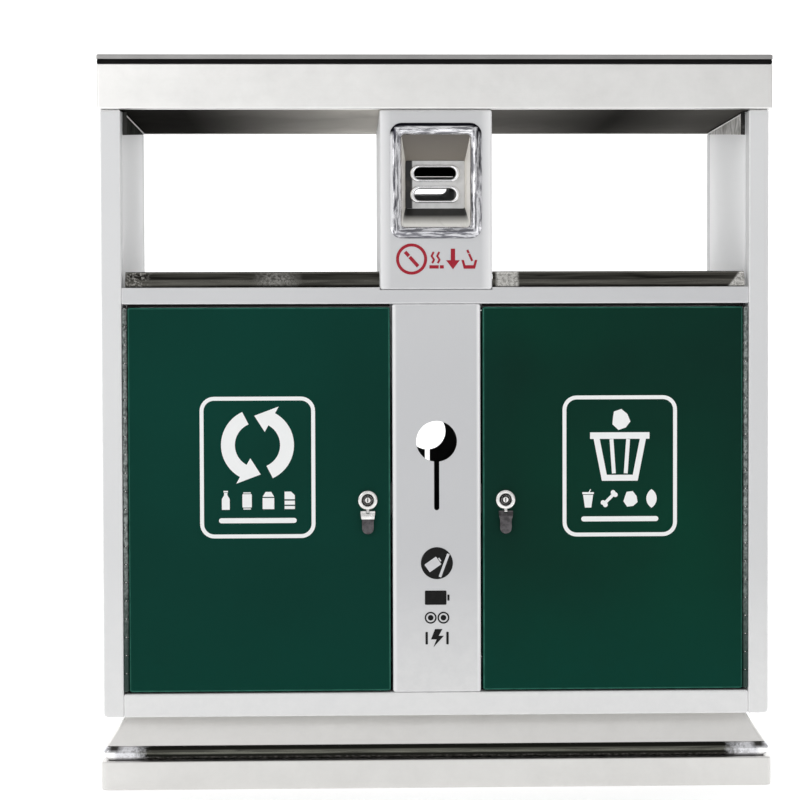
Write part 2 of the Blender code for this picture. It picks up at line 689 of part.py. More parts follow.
def make_ashtrays():
    """Stamped insert with flange, scoop, two slots and an ash tray hung behind them."""
    wall = 0.0012
    for face, front in FACES:
        place = (0, front * ASH_FACE_Y, ASH_FLANGE_Z)
        slide = axis_empty(f"ashtray_axis_{face}", place)
        flange = rounded_rectangle(ASH_FLANGE[0] / 2, ASH_FLANGE[1] / 2, 0.016)
        insert = prism(f"ashtray_insert_{face}", flange, "Y", 0.0, front * 0.0015, place,
                       "polished_stainless", slide)
        join(insert, funnel(f"add_funnel_{face}", front, ASH_FACE_Y + 0.0004, wall))
        y = facing(front, ASH_BACK_Y + 0.0004, ASH_BACK_Y + ASH_TRAY_REACH)
        low, high = Vector((-0.041, y[0], 0.7425)), Vector((0.041, y[1], 0.7850))
        join(insert, box(f"add_tray_{face}", low, high))
        cut(insert, funnel(f"cut_funnel_{face}", front, ASH_FACE_Y - 0.003, 0.0))
        for index, z in enumerate(ASH_SLOT_Z):
            slot = rounded_rectangle(ASH_SLOT[0] / 2, ASH_SLOT[1] / 2, ASH_SLOT[1] / 2 * 0.98)
            cut(insert, prism(f"cut_slot_{face}_{index}", slot, "Y", -0.004, 0.004,
                              (0, front * ASH_BACK_Y, z)))
        y_in = facing(front, ASH_BACK_Y + 2 * wall, ASH_BACK_Y + ASH_TRAY_REACH - 0.001)
        cut(insert, box(f"cut_tray_{face}", (low.x + 0.001, y_in[0], low.z + 0.001),
                        (high.x - 0.001, y_in[1], high.z + 0.010)))


def shade_round_pieces():
    for obj in PARTS.objects:
        if obj.type == "MESH":
            obj.data.shade_smooth()
            obj.data.set_sharp_from_angle(angle=math.radians(30.0))


make_plinth()
make_posts()
make_side_walls()
make_rails()
make_column()
make_floor_and_rear()
make_sill_guards()
make_cap()
make_doors()
make_buckets()
make_battery_box()
make_ashtrays()
shade_round_pieces()
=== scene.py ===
"""Looks of the two-compartment recycling bin station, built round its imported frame."""

import json
import math

import bmesh
import bpy
from mathutils import Matrix, Vector


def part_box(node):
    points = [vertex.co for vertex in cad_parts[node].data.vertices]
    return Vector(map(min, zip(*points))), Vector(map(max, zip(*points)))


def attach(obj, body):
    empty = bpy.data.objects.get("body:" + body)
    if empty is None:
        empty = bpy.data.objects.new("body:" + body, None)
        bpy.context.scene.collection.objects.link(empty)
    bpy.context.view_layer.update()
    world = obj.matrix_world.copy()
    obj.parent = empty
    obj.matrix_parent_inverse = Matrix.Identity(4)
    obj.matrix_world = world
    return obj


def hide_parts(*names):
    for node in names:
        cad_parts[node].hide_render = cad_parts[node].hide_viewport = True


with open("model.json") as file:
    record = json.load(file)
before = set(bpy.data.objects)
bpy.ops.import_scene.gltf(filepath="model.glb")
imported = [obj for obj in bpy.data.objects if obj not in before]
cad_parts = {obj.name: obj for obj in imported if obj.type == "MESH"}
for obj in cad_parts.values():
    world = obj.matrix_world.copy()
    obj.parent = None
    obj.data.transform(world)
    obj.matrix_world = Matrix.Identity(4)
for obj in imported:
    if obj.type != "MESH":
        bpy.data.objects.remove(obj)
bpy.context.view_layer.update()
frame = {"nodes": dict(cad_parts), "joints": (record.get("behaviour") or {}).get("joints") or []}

SIDES = (("left", -1.0), ("right", 1.0))
FACES = (("front", 1.0), ("rear", -1.0))
SHEET = 0.0012  # painted and brushed panels
PLATE = 0.0010  # stainless folds and lips
ROOT = "station"


# ---------------------------------------------------------------- material building

class Graph:
    """Node tree of one material, with short calls for the nodes used here."""

    def __init__(self, name):
        self.material = bpy.data.materials.new(name)
        self.material.use_nodes = True
        self.tree = self.material.node_tree
        self.shader = self.tree.nodes["Principled BSDF"]
        coordinates = self.add("ShaderNodeTexCoord")
        self.place = coordinates.outputs["Object"]
        self.facing = coordinates.outputs["Normal"]

    def add(self, kind, inputs=None, **settings):
        made = self.tree.nodes.new(kind)
        for key, value in settings.items():
            setattr(made, key, value)
        for key, value in (inputs or {}).items():
            self.feed(made.inputs[key], value)
        return made

    def feed(self, socket, value):
        """Links or sets a socket; a single number makes a grey colour."""
        if isinstance(value, bpy.types.NodeSocket):
            self.tree.links.new(value, socket)
            return
        if socket.type == "RGBA":
            value = (*(value if isinstance(value, tuple) else (value,) * 3), 1.0)
        socket.default_value = value

    def noise(self, scale, detail=3.0, roughness=0.55, distortion=0.0, vector=None):
        made = self.add("ShaderNodeTexNoise", {"Vector": vector or self.place, "Scale": scale,
                                               "Detail": detail, "Roughness": roughness,
                                               "Distortion": distortion})
        return made.outputs["Fac"]

    def strokes(self, scales, detail, roughness, distortion=0.0):
        """Noise with its own scale along each axis."""
        made = self.add("ShaderNodeMapping", {"Vector": self.place, "Scale": scales})
        return self.noise(1.0, detail, roughness, distortion, made.outputs["Vector"])

    def spangle(self, scale):
        """Flat cells of random brightness."""
        cells = self.add("ShaderNodeTexVoronoi", {"Vector": self.place, "Scale": scale})
        return self.add("ShaderNodeRGBToBW", {"Color": cells.outputs["Color"]}).outputs[0]

    def spread(self, value, low, high, to_low=0.0, to_high=1.0):
        made = self.add("ShaderNodeMapRange", {"Value": value, "From Min": low, "From Max": high,
                                               "To Min": to_low, "To Max": to_high})
        return made.outputs["Result"]

    def math(self, operation, first, *others):
        """One operation carried through all the values."""
        for other in others or (0.0,):
            made = self.add("ShaderNodeMath", {0: first, 1: other}, operation=operation)
            first = made.outputs["Value"]
        return first

    def plus(self, *values):
        return self.math("ADD", *values)

    def less(self, *values):
        return self.math("SUBTRACT", *values)

    def times(self, *values):
        return self.math("MULTIPLY", *values)

    def most(self, *values):
        return self.math("MAXIMUM", *values)

    def blend(self, share, a, b, mode="MIX"):
        made = self.add("ShaderNodeMix", data_type="RGBA", blend_type=mode)
        for socket, value in ((0, share), (6, a), (7, b)):
            self.feed(made.inputs[socket], value)
        return made.outputs[2]

    def layers(self, tint, *coats):
        """Coats (share, colour) laid over tint one after another."""
        for share, colour in coats:
            tint = self.blend(share, tint, colour)
        return tint

    def axis(self, which, of=None):
        return self.add("ShaderNodeSeparateXYZ", {"Vector": of or self.place}).outputs[which]

    def reach(self, which, of=None):
        """Distance from the middle along an axis, whichever way."""
        return self.math("ABSOLUTE", self.axis(which, of))

    def scaled(self, tint, which, low, high, to_low, to_high):
        """Tint made lighter or darker along one axis."""
        share = self.spread(self.axis(which), low, high, to_low, to_high)
        return self.blend(1.0, tint, share, "MULTIPLY")

    def within(self, value, low, high, soft):
        """1 between low and high, 0 outside, with soft ends."""
        return self.times(self.spread(value, low - soft, low + soft),
                          self.spread(value, high + soft, high - soft))

    def folds(self, start=0.02, full=0.14):
        """1 on the rounded folds between faces that stand square to the axes, 0 on the faces."""
        flat = self.most(*[self.reach(which, self.facing) for which in "XYZ"])
        return self.spread(self.less(1.0, flat), start, full)

    def surface(self, tint, rough, relief=None, **inputs):
        """Feeds the shader; relief is (height, strength) or (height, strength, distance)."""
        if relief:
            height, strength, distance = (*relief, 0.0003)[:3]
            made = self.add("ShaderNodeBump", {"Height": height, "Strength": strength,
                                               "Distance": distance})
            inputs["Normal"] = made.outputs["Normal"]
        for key, value in {"Base_Color": tint, "Roughness": rough, **inputs}.items():
            self.feed(self.shader.inputs[key.replace("_", " ")], value)
        return self.material


def dimmed(colour, share):
    return tuple(c * share for c in colour)


# ---------------------------------------------------------------- materials

def brushed_steel(name, light, dark, rough=(0.28, 0.42), light_falloff=None):
    """Hairline stainless: fine strokes along one axis, soft clouding and handling marks, with an
    optional painted light gradient along one axis.
    """
    g = Graph(name)
    strokes = g.strokes((5.0, 1400.0, 1400.0), 4.0, 0.7)
    clouds = g.noise(14.0, 5.0, 0.65, 0.5)
    patches = g.noise(60.0, 4.0, 0.7)
    smears = g.noise(23.0, 5.0, 0.65, 1.2)
    parts = ((strokes, 0.16), (clouds, 0.50), (patches, 0.34))
    tone = g.plus(*[g.spread(pattern, 0.3, 0.7, 0.0, share) for pattern, share in parts])
    tint = g.layers(dark, (tone, light), (g.spread(smears, 0.58, 0.75, 0.0, 0.08), dimmed(dark, 0.8)))
    # Painted light: the tint made lighter or darker along one axis, as light falls across the part.
    if light_falloff:
        tint = g.scaled(tint, *light_falloff)
    finish = g.spread(g.plus(strokes, g.times(smears, 0.5)), 0.5, 1.0, *rough)
    return g.surface(tint, finish, (strokes, 0.05, 0.0004), Metallic=1.0)


def sill_steel():
    """Polished lip in deep shade, its light painted in: near-black painted shade on the slope, a painted
    highlight on the rolled edge, pale painted reflection patches at the ends.
    """
    g = Graph("sill_guard_steel")
    streaks = g.strokes((9.0, 220.0, 220.0), 3.0, 0.6, 0.6)
    flecks = g.noise(260.0, 4.0, 0.7)
    scratches = g.strokes((60.0, 2600.0, 2600.0), 2.0, 0.8)
    across, height = g.axis("X"), g.axis("Z")
    # Painted light by position: a highlight on the rolled edge, a paler reflection on the upright face,
    # a glint and specks of reflection on the left, reflection patches at the ends.
    rolled_edge_highlight = g.within(height, 0.6905, 0.6940, 0.0006)
    upright = g.times(g.within(height, 0.6745, 0.6815, 0.0008), g.spread(streaks, 0.35, 0.65, 0.35, 1.0))
    glint = g.times(g.within(across, -0.235, -0.190, 0.012), g.within(height, 0.6740, 0.6900, 0.002),
                    g.spread(flecks, 0.42, 0.60, 0.1, 0.7))
    specks = g.times(g.within(across, -0.415, -0.385, 0.006), g.spread(flecks, 0.50, 0.60))
    slant = g.less(across, g.times(g.less(height, 0.6713), 0.8))
    reflection_patch = g.times(g.most(g.within(across, 0.081, 0.110, 0.002), g.spread(slant, 0.391, 0.394)),
                    g.spread(flecks, 0.40, 0.55, 0.45, 1.0))
    tint = g.layers((0.016, 0.015, 0.013), (g.spread(streaks, 0.40, 0.62), (0.060, 0.058, 0.050)),
                    (rolled_edge_highlight, (0.17, 0.165, 0.15)), (upright, (0.13, 0.125, 0.11)),
                    (glint, (0.40, 0.39, 0.37)), (specks, (0.34, 0.33, 0.31)),
                    (reflection_patch, (0.62, 0.61, 0.58)))
    return g.surface(tint, g.spread(scratches, 0.35, 0.65, 0.10, 0.24), (scratches, 0.06), Metallic=1.0)


def gusset_steel(name, light, dark, front):
    """Folded corner plate: dull sheet with a painted shade tone down its front fold."""
    g = Graph(name)
    patches = g.noise(38.0, 4.0, 0.65, 0.6)
    scratches = g.strokes((900.0, 60.0, 900.0), 2.0, 0.8)
    # Painted shade: the front tone laid down the front fold, broken by the patches.
    strip = g.times(g.spread(g.reach("Y"), 0.124, 0.129), g.spread(patches, 0.30, 0.50, 0.6, 1.0))
    tint = g.layers(dark, (g.spread(patches, 0.38, 0.62), light), (strip, front))
    return g.surface(tint, g.spread(scratches, 0.35, 0.65, 0.32, 0.48), (scratches, 0.06),
                     Specular_IOR_Level=0.0)


def soffit_steel():
    """Underside of the cap in deep shade, its shade painted in: a painted shade gradient along its
    length, paler with painted reflection beside the column on the left.
    """
    g = Graph("cap_soffit_steel")
    across = g.axis("X")
    # Painted reflection and shade: the tint set by position along X.
    left = g.math("POWER", g.spread(across, -0.34, -0.08, 0.14, 0.83), 2.0)
    right = g.plus(g.spread(across, 0.08, 0.25, 0.190, 0.032), g.spread(across, 0.26, 0.36, 0.0, 0.08))
    shade = g.blend(g.spread(across, -0.01, 0.01), left, right)
    scuffs = g.noise(9.0, 5.0, 0.6, 0.5)
    grain = g.strokes((5.0, 900.0, 900.0), 3.0, 0.7)
    tint = g.blend(1.0, shade, (1.0, 0.96, 0.89), "MULTIPLY")
    tint = g.blend(g.spread(scuffs, 0.45, 0.75, 0.0, 0.25), tint, (0.050, 0.049, 0.044))
    return g.surface(tint, g.spread(grain, 0.3, 0.7, 0.45, 0.60), (grain, 0.08), Specular_IOR_Level=0.0)


def chrome_bevel():
    """Bright pressed rim, its reflections painted in: bright painted streaks along each side, a painted
    highlight on the outer left, painted dark reflection lines that follow its folds.
    """
    low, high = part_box("ashtray_insert_front")
    middle = (low.z + high.z) / 2
    g = Graph("flange_steel")
    across, height = g.axis("X"), g.axis("Z")
    past_side = g.less(g.reach("X"), high.x)
    past_end = g.less(g.math("ABSOLUTE", g.less(height, middle)), high.z - middle)
    inset = g.times(g.most(past_side, past_end), -1.0)
    upright = g.spread(g.less(past_side, past_end), -0.004, 0.004)
    right, upper = g.spread(across, -0.001, 0.001), g.spread(height, middle - 0.001, middle + 0.001)
    level, left, lower = [g.less(1.0, share) for share in (upright, right, upper)]
    streaks = g.plus(g.times(g.strokes((330.0, 330.0, 45.0), 3.0, 0.6, 0.4), upright),
                     g.times(g.strokes((45.0, 330.0, 330.0), 3.0, 0.6, 0.4), level))
    scratches = g.strokes((900.0, 900.0, 60.0), 2.0, 0.8)
    broken = g.spread(streaks, 0.42, 0.60, 1.0, 0.35)
    near_corner = g.times(g.spread(past_side, -0.018, -0.011), g.spread(past_end, -0.018, -0.011))
    edge = g.most(g.spread(inset, 0.0052, 0.0042),
                  g.times(near_corner, g.spread(inset, 0.0066, 0.0052)))
    # Painted reflections: bright streaks, a highlight on the outer left, dark lines along the folds and
    # a dark line along the upper edge and corners.
    tint = g.layers(
        (0.24, 0.24, 0.26),
        (g.spread(streaks, 0.42, 0.56), (0.84, 0.84, 0.87)),
        (g.times(upright, left, g.spread(inset, 0.0042, 0.0030)), (0.92, 0.92, 0.94)),
        (g.times(broken, upright, left, g.within(inset, 0.0045, 0.0078, 0.0008)), (0.035, 0.035, 0.045)),
        (g.times(broken, upright, right, g.within(inset, 0.0125, 0.0150, 0.0008),
                 g.spread(height, middle + 0.015, middle - 0.005)), (0.060, 0.060, 0.070)),
        (g.times(broken, upright, right, g.within(inset, 0.0022, 0.0078, 0.0010),
                 g.spread(height, middle - 0.004, middle + 0.022)), (0.008, 0.008, 0.012)),
        (g.times(broken, level, lower, g.spread(inset, 0.0125, 0.0105)), (0.16, 0.16, 0.18)),
        (g.times(edge, upper, g.most(level, near_corner)), (0.005, 0.005, 0.009)))
    return g.surface(tint, g.spread(scratches, 0.35, 0.65, 0.10, 0.24), (scratches, 0.05), Metallic=1.0)


def scoop_steel():
    """Inside of the ashtray with soot blotches, its light painted in by the facing of each face: painted
    shade above, painted highlights on the cheeks, painted shade towards the back.
    """
    g = Graph("scoop_steel")
    rise, side, depth = g.axis("Z", g.facing), g.reach("X", g.facing), g.reach("Y")
    soot = g.noise(55.0, 5.0, 0.65, 0.6)
    grain = g.strokes((900.0, 900.0, 30.0), 3.0, 0.7)
    # Painted light: a dark painted shade band at the left of the back, highlights on the side cheeks,
    # shade on the roof, and the floor shaded darker towards the back.
    stripe = g.times(g.spread(g.axis("X"), -0.0300, -0.0315), g.spread(depth, 0.1372, 0.1362))
    cheek = g.blend(g.spread(depth, 0.136, 0.150), (0.86, 0.82, 0.74), (1.0, 0.975, 0.93))
    roof_shade = g.blend(g.spread(depth, 0.137, 0.163), (0.20, 0.180, 0.155), (0.115, 0.103, 0.090))
    floor_shade = g.blend(g.spread(depth, 0.146, 0.161), (0.008, 0.008, 0.007), (0.88, 0.87, 0.83))
    tint = g.layers(0.52, (g.spread(soot, 0.3, 0.7), 0.70), (stripe, (0.003, 0.003, 0.004)),
                    (g.spread(side, 0.25, 0.5), cheek), (g.spread(rise, -0.2, -0.4), roof_shade),
                    (g.spread(rise, 0.2, 0.4), floor_shade),
                    (g.spread(soot, 0.55, 0.8, 0.0, 0.25), (0.20, 0.17, 0.14)))
    return g.surface(tint, g.spread(grain, 0.3, 0.7, 0.28, 0.42), (grain, 0.06), Metallic=0.08)


def bead_steel():
    """Half-round polished bead, its reflections painted in: near black, one paler painted reflection
    stripe, painted highlights near the ends of its long faces.
    """
    g = Graph("bead_steel")
    streaks = g.strokes((9.0, 200.0, 200.0), 4.0, 0.65, 0.8)
    flecks = g.noise(210.0, 4.0, 0.7)
    height, reach = g.axis("Z"), g.reach("X")
    # Painted light: a reflection stripe, paler reflection flecks low down, highlights at the corners and
    # a painted shadow above the end highlight.
    stripe = g.times(g.within(height, 0.0478, 0.0530, 0.0008), g.spread(streaks, 0.35, 0.60, 0.3, 1.0))
    low = g.times(g.spread(height, 0.0450, 0.0430), g.spread(flecks, 0.45, 0.65, 0.0, 0.5))
    long_face = g.spread(g.reach("Y"), 0.146, 0.160)
    corner = g.times(g.spread(g.plus(reach, g.times(flecks, 0.03)), 0.402, 0.424),
                     g.spread(flecks, 0.40, 0.52, 0.75, 1.0), long_face)
    hook_shadow = g.times(g.within(reach, 0.425, 0.440, 0.004), g.spread(height, 0.0490, 0.0540), long_face)
    blob_highlight = g.times(g.spread(reach, 0.428, 0.434), g.spread(height, 0.0520, 0.0500), long_face)
    tint = g.layers((0.012, 0.012, 0.010), (stripe, (0.16, 0.16, 0.135)), (low, (0.30, 0.28, 0.27)),
                    (corner, (0.72, 0.72, 0.75)), (hook_shadow, (0.05, 0.048, 0.045)),
                    (blob_highlight, (0.97, 0.97, 0.98)))
    return g.surface(tint, g.spread(streaks, 0.3, 0.7, 0.12, 0.26), (flecks, 0.05), Metallic=1.0)


def powder_coat(name, light, dark, fleck_and_highlight_tint, foot, gloss=0.5, fleck_share=0.08, fold_highlight_share=0.9,
                light_falloff=None, right=None, rims=(), inside=None):
    """Baked powder paint: orange peel, slow shade drift, painted highlights on the folds, another tone
    at the foot; painted light gradients and painted shade where asked.
    """
    g = Graph(name)
    peel, fleck = g.noise(520.0, 2.0, 0.5), g.noise(2600.0, 1.0, 0.5)
    drift = g.spread(g.noise(2.6, 3.0, 0.5), 0.32, 0.68)
    rubs_and_sheen = g.noise(70.0, 5.0, 0.7)
    across, height = g.axis("X"), g.axis("Z")
    tint = g.blend(drift, dark, light)
    # Painted shade: the right-hand part gets its own, darker pair of tones.
    if right:
        tint = g.blend(g.spread(across, -0.02, 0.10), tint, g.blend(drift, *right))
    # Painted light: the tint made lighter or darker across the part along X.
    if light_falloff:
        tint = g.scaled(tint, "X", -0.45, 0.45, *light_falloff)
    foot_share = g.times(g.spread(height, 0.30, 0.12), g.spread(rubs_and_sheen, 0.35, 0.65, 0.7, 1.0))
    coats = [(foot_share, foot)]
    # Painted highlights on the rims and folds, broken by the rub noise; the flecks are real flake in the
    # same tone.
    coats += [(g.times(g.spread(g.reach("X"), start, full), g.within(height, low, high, 0.001)),
               fleck_and_highlight_tint) for low, high, start, full in rims]
    coats += [(g.spread(fleck, 0.35, 0.75, 0.0, fleck_share), fleck_and_highlight_tint),
              (g.times(g.folds(), g.spread(rubs_and_sheen, 0.35, 0.60, fold_highlight_share * 0.5, fold_highlight_share)), fleck_and_highlight_tint)]
    # Painted shade: faces turned inwards made near black.
    if inside:
        inward = g.times(g.axis("Y", g.facing), g.axis("Y"))
        coats.append((g.spread(inward, -0.02, -0.06), inside))
    finish = g.plus(g.spread(rubs_and_sheen, 0.3, 0.7, 0.36, 0.48), g.times(foot_share, 0.06))
    return g.surface(g.layers(tint, *coats), finish, (peel, 0.10, 0.0006), Specular_IOR_Level=gloss)


def galvanised_steel(name, light, dark):
    """Hot-dip zinc with its crystal spangle and white bloom."""
    g = Graph(name)
    crystal = g.spangle(95.0)
    bloom = g.noise(16.0, 5.0, 0.65)
    tint = g.layers(dark, (crystal, light), (g.spread(bloom, 0.55, 0.75, 0.0, 0.35), (0.62, 0.63, 0.62)))
    finish = g.plus(g.spread(crystal, 0.0, 1.0, 0.28, 0.46), g.spread(bloom, 0.5, 0.8, 0.0, 0.2))
    return g.surface(tint, finish, (crystal, 0.05, 0.0004), Metallic=0.9)


def hinge_steel():
    """Hinge strip: dull speckled zinc, turning a dark, less metallic green towards the foot."""
    g = Graph("hinge_steel")
    specks, patches = g.noise(170.0, 4.0, 0.7), g.noise(24.0, 4.0, 0.65)
    green_foot = g.spread(g.less(g.axis("Z"), g.times(patches, 0.06)), 0.30, 0.14)
    tint = g.layers((0.055, 0.065, 0.062), (g.spread(specks, 0.38, 0.62), (0.30, 0.33, 0.32)),
                    (green_foot, (0.0030, 0.026, 0.019)))
    return g.surface(tint, g.spread(specks, 0.3, 0.7, 0.34, 0.50), (specks, 0.10, 0.0004),
                     Metallic=g.spread(green_foot, 0.0, 1.0, 0.9, 0.1))


def plated_zinc(name, light, dark, rough=(0.10, 0.26)):
    """Die-cast lock parts: bright plating with pits, dulled in hollows."""
    g = Graph(name)
    pits, wear = g.noise(900.0, 3.0, 0.6), g.noise(140.0, 4.0, 0.6)
    tint = g.layers(dark, (g.spread(wear, 0.38, 0.62), light),
                    (g.spread(pits, 0.60, 0.75, 0.0, 0.4), dimmed(dark, 0.5)))
    return g.surface(tint, g.spread(wear, 0.3, 0.7, *rough), (pits, 0.08), Metallic=1.0)


def vinyl(name, colour, worn_colour, wear=0.25):
    """Cut vinyl film: faint grain, thin spots and a slightly uneven sheen."""
    g = Graph(name)
    grain, patches = g.noise(1500.0, 2.0, 0.6), g.noise(120.0, 5.0, 0.7)
    tint = g.layers(colour, (g.spread(patches, 0.52, 0.72, 0.0, wear), worn_colour),
                    (g.spread(grain, 0.4, 0.7, 0.0, 0.12), worn_colour))
    return g.surface(tint, g.spread(patches, 0.3, 0.7, 0.34, 0.52), (grain, 0.05, 0.0002),
                     Specular_IOR_Level=0.12)


def rubber():
    """Black rubber with a faint bloom."""
    g = Graph("gasket_rubber")
    grain, bloom = g.noise(700.0, 3.0, 0.6), g.noise(30.0, 4.0, 0.6)
    tint = g.blend(g.spread(bloom, 0.45, 0.75, 0.0, 0.5), 0.003, (0.010, 0.009, 0.009))
    return g.surface(tint, g.spread(bloom, 0.3, 0.7, 0.50, 0.70), (grain, 0.15, 0.0004),
                     Specular_IOR_Level=0.08)


# Stretches of the column's edges that catch the light: low and high z, then start and full |x|
COLUMN_RIMS = ((0.10, 0.648, 0.0530, 0.0560), (0.668, 0.92, 0.0600, 0.0740))
# The posts' silver paint made darker as painted shade: light, dark, highlight and fleck, and foot tones.
COLUMN_COAT = ((0.575, 0.580, 0.590), (0.530, 0.535, 0.550), (0.80, 0.80, 0.81), 0.74)

LOOKS = {
    "brushed_stainless": {
        # Painted shade: the fascia made darker towards the right.
        "fascia": brushed_steel("fascia_steel", (0.95, 0.945, 0.93), (0.84, 0.835, 0.82),
                                light_falloff=("X", -0.45, 0.45, 1.0, 0.92)),
        # Painted shade: the plinth made darker on its band and into the bead's recess than on the skirt
        # above.
        "skirt": brushed_steel("skirt_steel", (0.87, 0.86, 0.84), (0.78, 0.77, 0.75),
                               light_falloff=("Z", 0.040, 0.056, 0.88, 1.02)),
        # Painted shade: the cap's top is the same steel made dark grey.
        "top": brushed_steel("top_steel", (0.42, 0.415, 0.41), (0.33, 0.325, 0.32)),
        "soffit": soffit_steel(),
    },
    "polished_stainless": {
        "bead": bead_steel(),
        "sill": sill_steel(),
        # Each gusset and hem is the same steel on both sides: painted dark on the left as painted shade,
        # painted pale on the right as painted light.
        "gusset_left": gusset_steel("gusset_left_steel", (0.052, 0.053, 0.048), (0.028, 0.029, 0.027),
                                    (0.055, 0.055, 0.052)),
        "gusset_right": gusset_steel("gusset_right_steel", (0.86, 0.85, 0.83), (0.42, 0.41, 0.39), 0.03),
        "hem_left": brushed_steel("hem_left_steel", (0.22, 0.215, 0.21), (0.13, 0.128, 0.125)),
        "hem_right": brushed_steel("hem_right_steel", (0.52, 0.51, 0.50), (0.30, 0.295, 0.29)),
        "flange": chrome_bevel(),
        "lip": brushed_steel("lip_steel", (0.96, 0.96, 0.97), (0.80, 0.80, 0.81), (0.16, 0.28)),
        "scoop": scoop_steel(),
    },
    "silver_paint": {
        # Lit and shaded copies of one silver paint: posts painted lighter to the left; liners painted
        # paler, more so to the right; rails and column painted darker and the column near black inside,
        # all painted light and shade.
        "silver": powder_coat("silver_powder_coat", (0.690, 0.695, 0.700), (0.650, 0.655, 0.665),
                              0.88, 0.77, light_falloff=(1.02, 0.94)),
        "liner": powder_coat("liner_powder_coat", (0.855, 0.86, 0.865), (0.815, 0.82, 0.83),
                             0.88, 0.77, light_falloff=(1.06, 1.26)),
        "rail": powder_coat("rail_powder_coat", *COLUMN_COAT, light_falloff=(1.04, 0.96)),
        "column": powder_coat("column_powder_coat", *COLUMN_COAT, light_falloff=(1.04, 0.96),
                              rims=COLUMN_RIMS, inside=0.012),
        "black": vinyl("black_vinyl", 0.006, 0.03),
        "red": vinyl("red_vinyl", (0.33, 0.012, 0.026), (0.40, 0.10, 0.12), 0.35),
        "pale": vinyl("pale_vinyl", (0.60, 0.60, 0.62), (0.52, 0.52, 0.53)),
    },
    "green_paint": {
        # Painted shade: the right door and rear panel get a darker, less blue green.
        "green": powder_coat("green_powder_coat", (0.0020, 0.043, 0.0305), (0.0018, 0.033, 0.0230),
                             (0.06, 0.24, 0.18), (0.0016, 0.042, 0.0290), 0.045, 0.02, 0.6,
                             right=((0.0026, 0.022, 0.0150), (0.0014, 0.040, 0.0225))),
        "white": vinyl("white_vinyl", (0.84, 0.85, 0.85), (0.70, 0.74, 0.73), 0.15),
    },
    "galvanised": {
        "zinc": galvanised_steel("galvanised_steel", (0.50, 0.52, 0.54), (0.27, 0.285, 0.30)),
        "hinge": hinge_steel(),
        # Painted shade: the galvanised steel made near black for the lock keepers, seen in the gap by
        # the column.
        "keeper": galvanised_steel("keeper_steel", (0.13, 0.135, 0.135), (0.045, 0.048, 0.048)),
    },
    "zinc_lock": {
        "lock": plated_zinc("lock_plating", (0.88, 0.87, 0.86), (0.66, 0.66, 0.65)),
        # Painted shade: the lock plating made dark, for the right flap's neck and both tabs.
        "lock_shaded": plated_zinc("lock_plating_shaded", (0.110, 0.105, 0.110), (0.050, 0.047, 0.050)),
        # Painted shadow: near-black plating for the plug's well and the back of the key-way.
        "keyway": plated_zinc("keyway_shadow", (0.05, 0.05, 0.05), (0.015, 0.015, 0.015), (0.35, 0.5)),
    },
    "black_rubber": {"gasket": rubber()},
}
MATERIALS = {look: material for looks in LOOKS.values() for look, material in looks.items()}


# ---------------------------------------------------------------- piece building

def placed(name, data):
    obj = bpy.data.objects.new(name, data)
    bpy.context.scene.collection.objects.link(obj)
    return obj


def meshed(name, bm):
    mesh = bpy.data.meshes.new(name)
    bm.to_mesh(mesh)
    bm.free()
    return placed(name, mesh)


def piece(name, bm, look, node=None, body=ROOT, sharp=38.0):
    """Object made from a bmesh, riding on its body, in the place of a CAD node if one is named."""
    bm.normal_update()
    if not any(edge.is_boundary for edge in bm.edges):
        bmesh.ops.recalc_face_normals(bm, faces=bm.faces)
    obj = meshed(name, bm)
    obj.data.materials.append(MATERIALS[look])
    obj["settle"] = sharp
    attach(obj, body)
    if node:
        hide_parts(node)
    return obj


def settle(obj):
    """Bakes the modifiers into the mesh, then smooths it with flats kept flat."""
    graph = bpy.context.evaluated_depsgraph_get()
    mesh = bpy.data.meshes.new_from_object(obj.evaluated_get(graph))
    obj.modifiers.clear()
    obj.data = mesh
    mesh.shade_smooth()
    mesh.set_sharp_from_angle(angle=math.radians(obj["settle"]))
    even = obj.modifiers.new("even_normals", "WEIGHTED_NORMAL")
    even.keep_sharp = True
    del obj["settle"]
    return obj


def thicken(obj, thickness, offset=-1.0):
    solid = obj.modifiers.new("sheet", "SOLIDIFY")
    solid.thickness = thickness
    solid.offset = offset
    solid.use_even_offset = True
    return obj


def soften(obj, width, segments=3, angle=50.0):
    edge = obj.modifiers.new("edges", "BEVEL")
    edge.width = width
    edge.segments = segments
    edge.limit_method = "ANGLE"
    edge.angle_limit = math.radians(angle)
    return obj


def cut(obj, bm):
    """Cuts the shape in bm out of the object at once."""
    bm.normal_update()
    bmesh.ops.recalc_face_normals(bm, faces=bm.faces)
    tool = meshed("tool", bm)
    step = obj.modifiers.new("shape", "BOOLEAN")
    step.operation = "DIFFERENCE"
    step.solver = "EXACT"
    step.object = tool
    graph = bpy.context.evaluated_depsgraph_get()
    obj.data = bpy.data.meshes.new_from_object(obj.evaluated_get(graph))
    obj.modifiers.clear()
    bpy.data.objects.remove(tool)


def drill(obj, place, radius, depth, segments):
    """Round hole along Y."""
    bm = bmesh.new()
    bmesh.ops.create_cone(bm, cap_ends=True, segments=segments, radius1=radius, radius2=radius,
                          depth=depth, matrix=Matrix.Translation(place)
                          @ Matrix.Rotation(math.pi / 2, 4, "X"))
    cut(obj, bm)


def block(low, high):
    low, high = Vector(low), Vector(high)
    bm = bmesh.new()
    place = Matrix.Translation((low + high) / 2) @ Matrix.Diagonal((*(high - low), 1.0))
    bmesh.ops.create_cube(bm, size=1.0, matrix=place)
    return bm


def bar(name, low, high, look, radius, node=None, body=ROOT, segments=4):
    """Closed bar or plate with rounded edges."""
    return soften(piece(name, block(low, high), look, node, body), radius, segments)


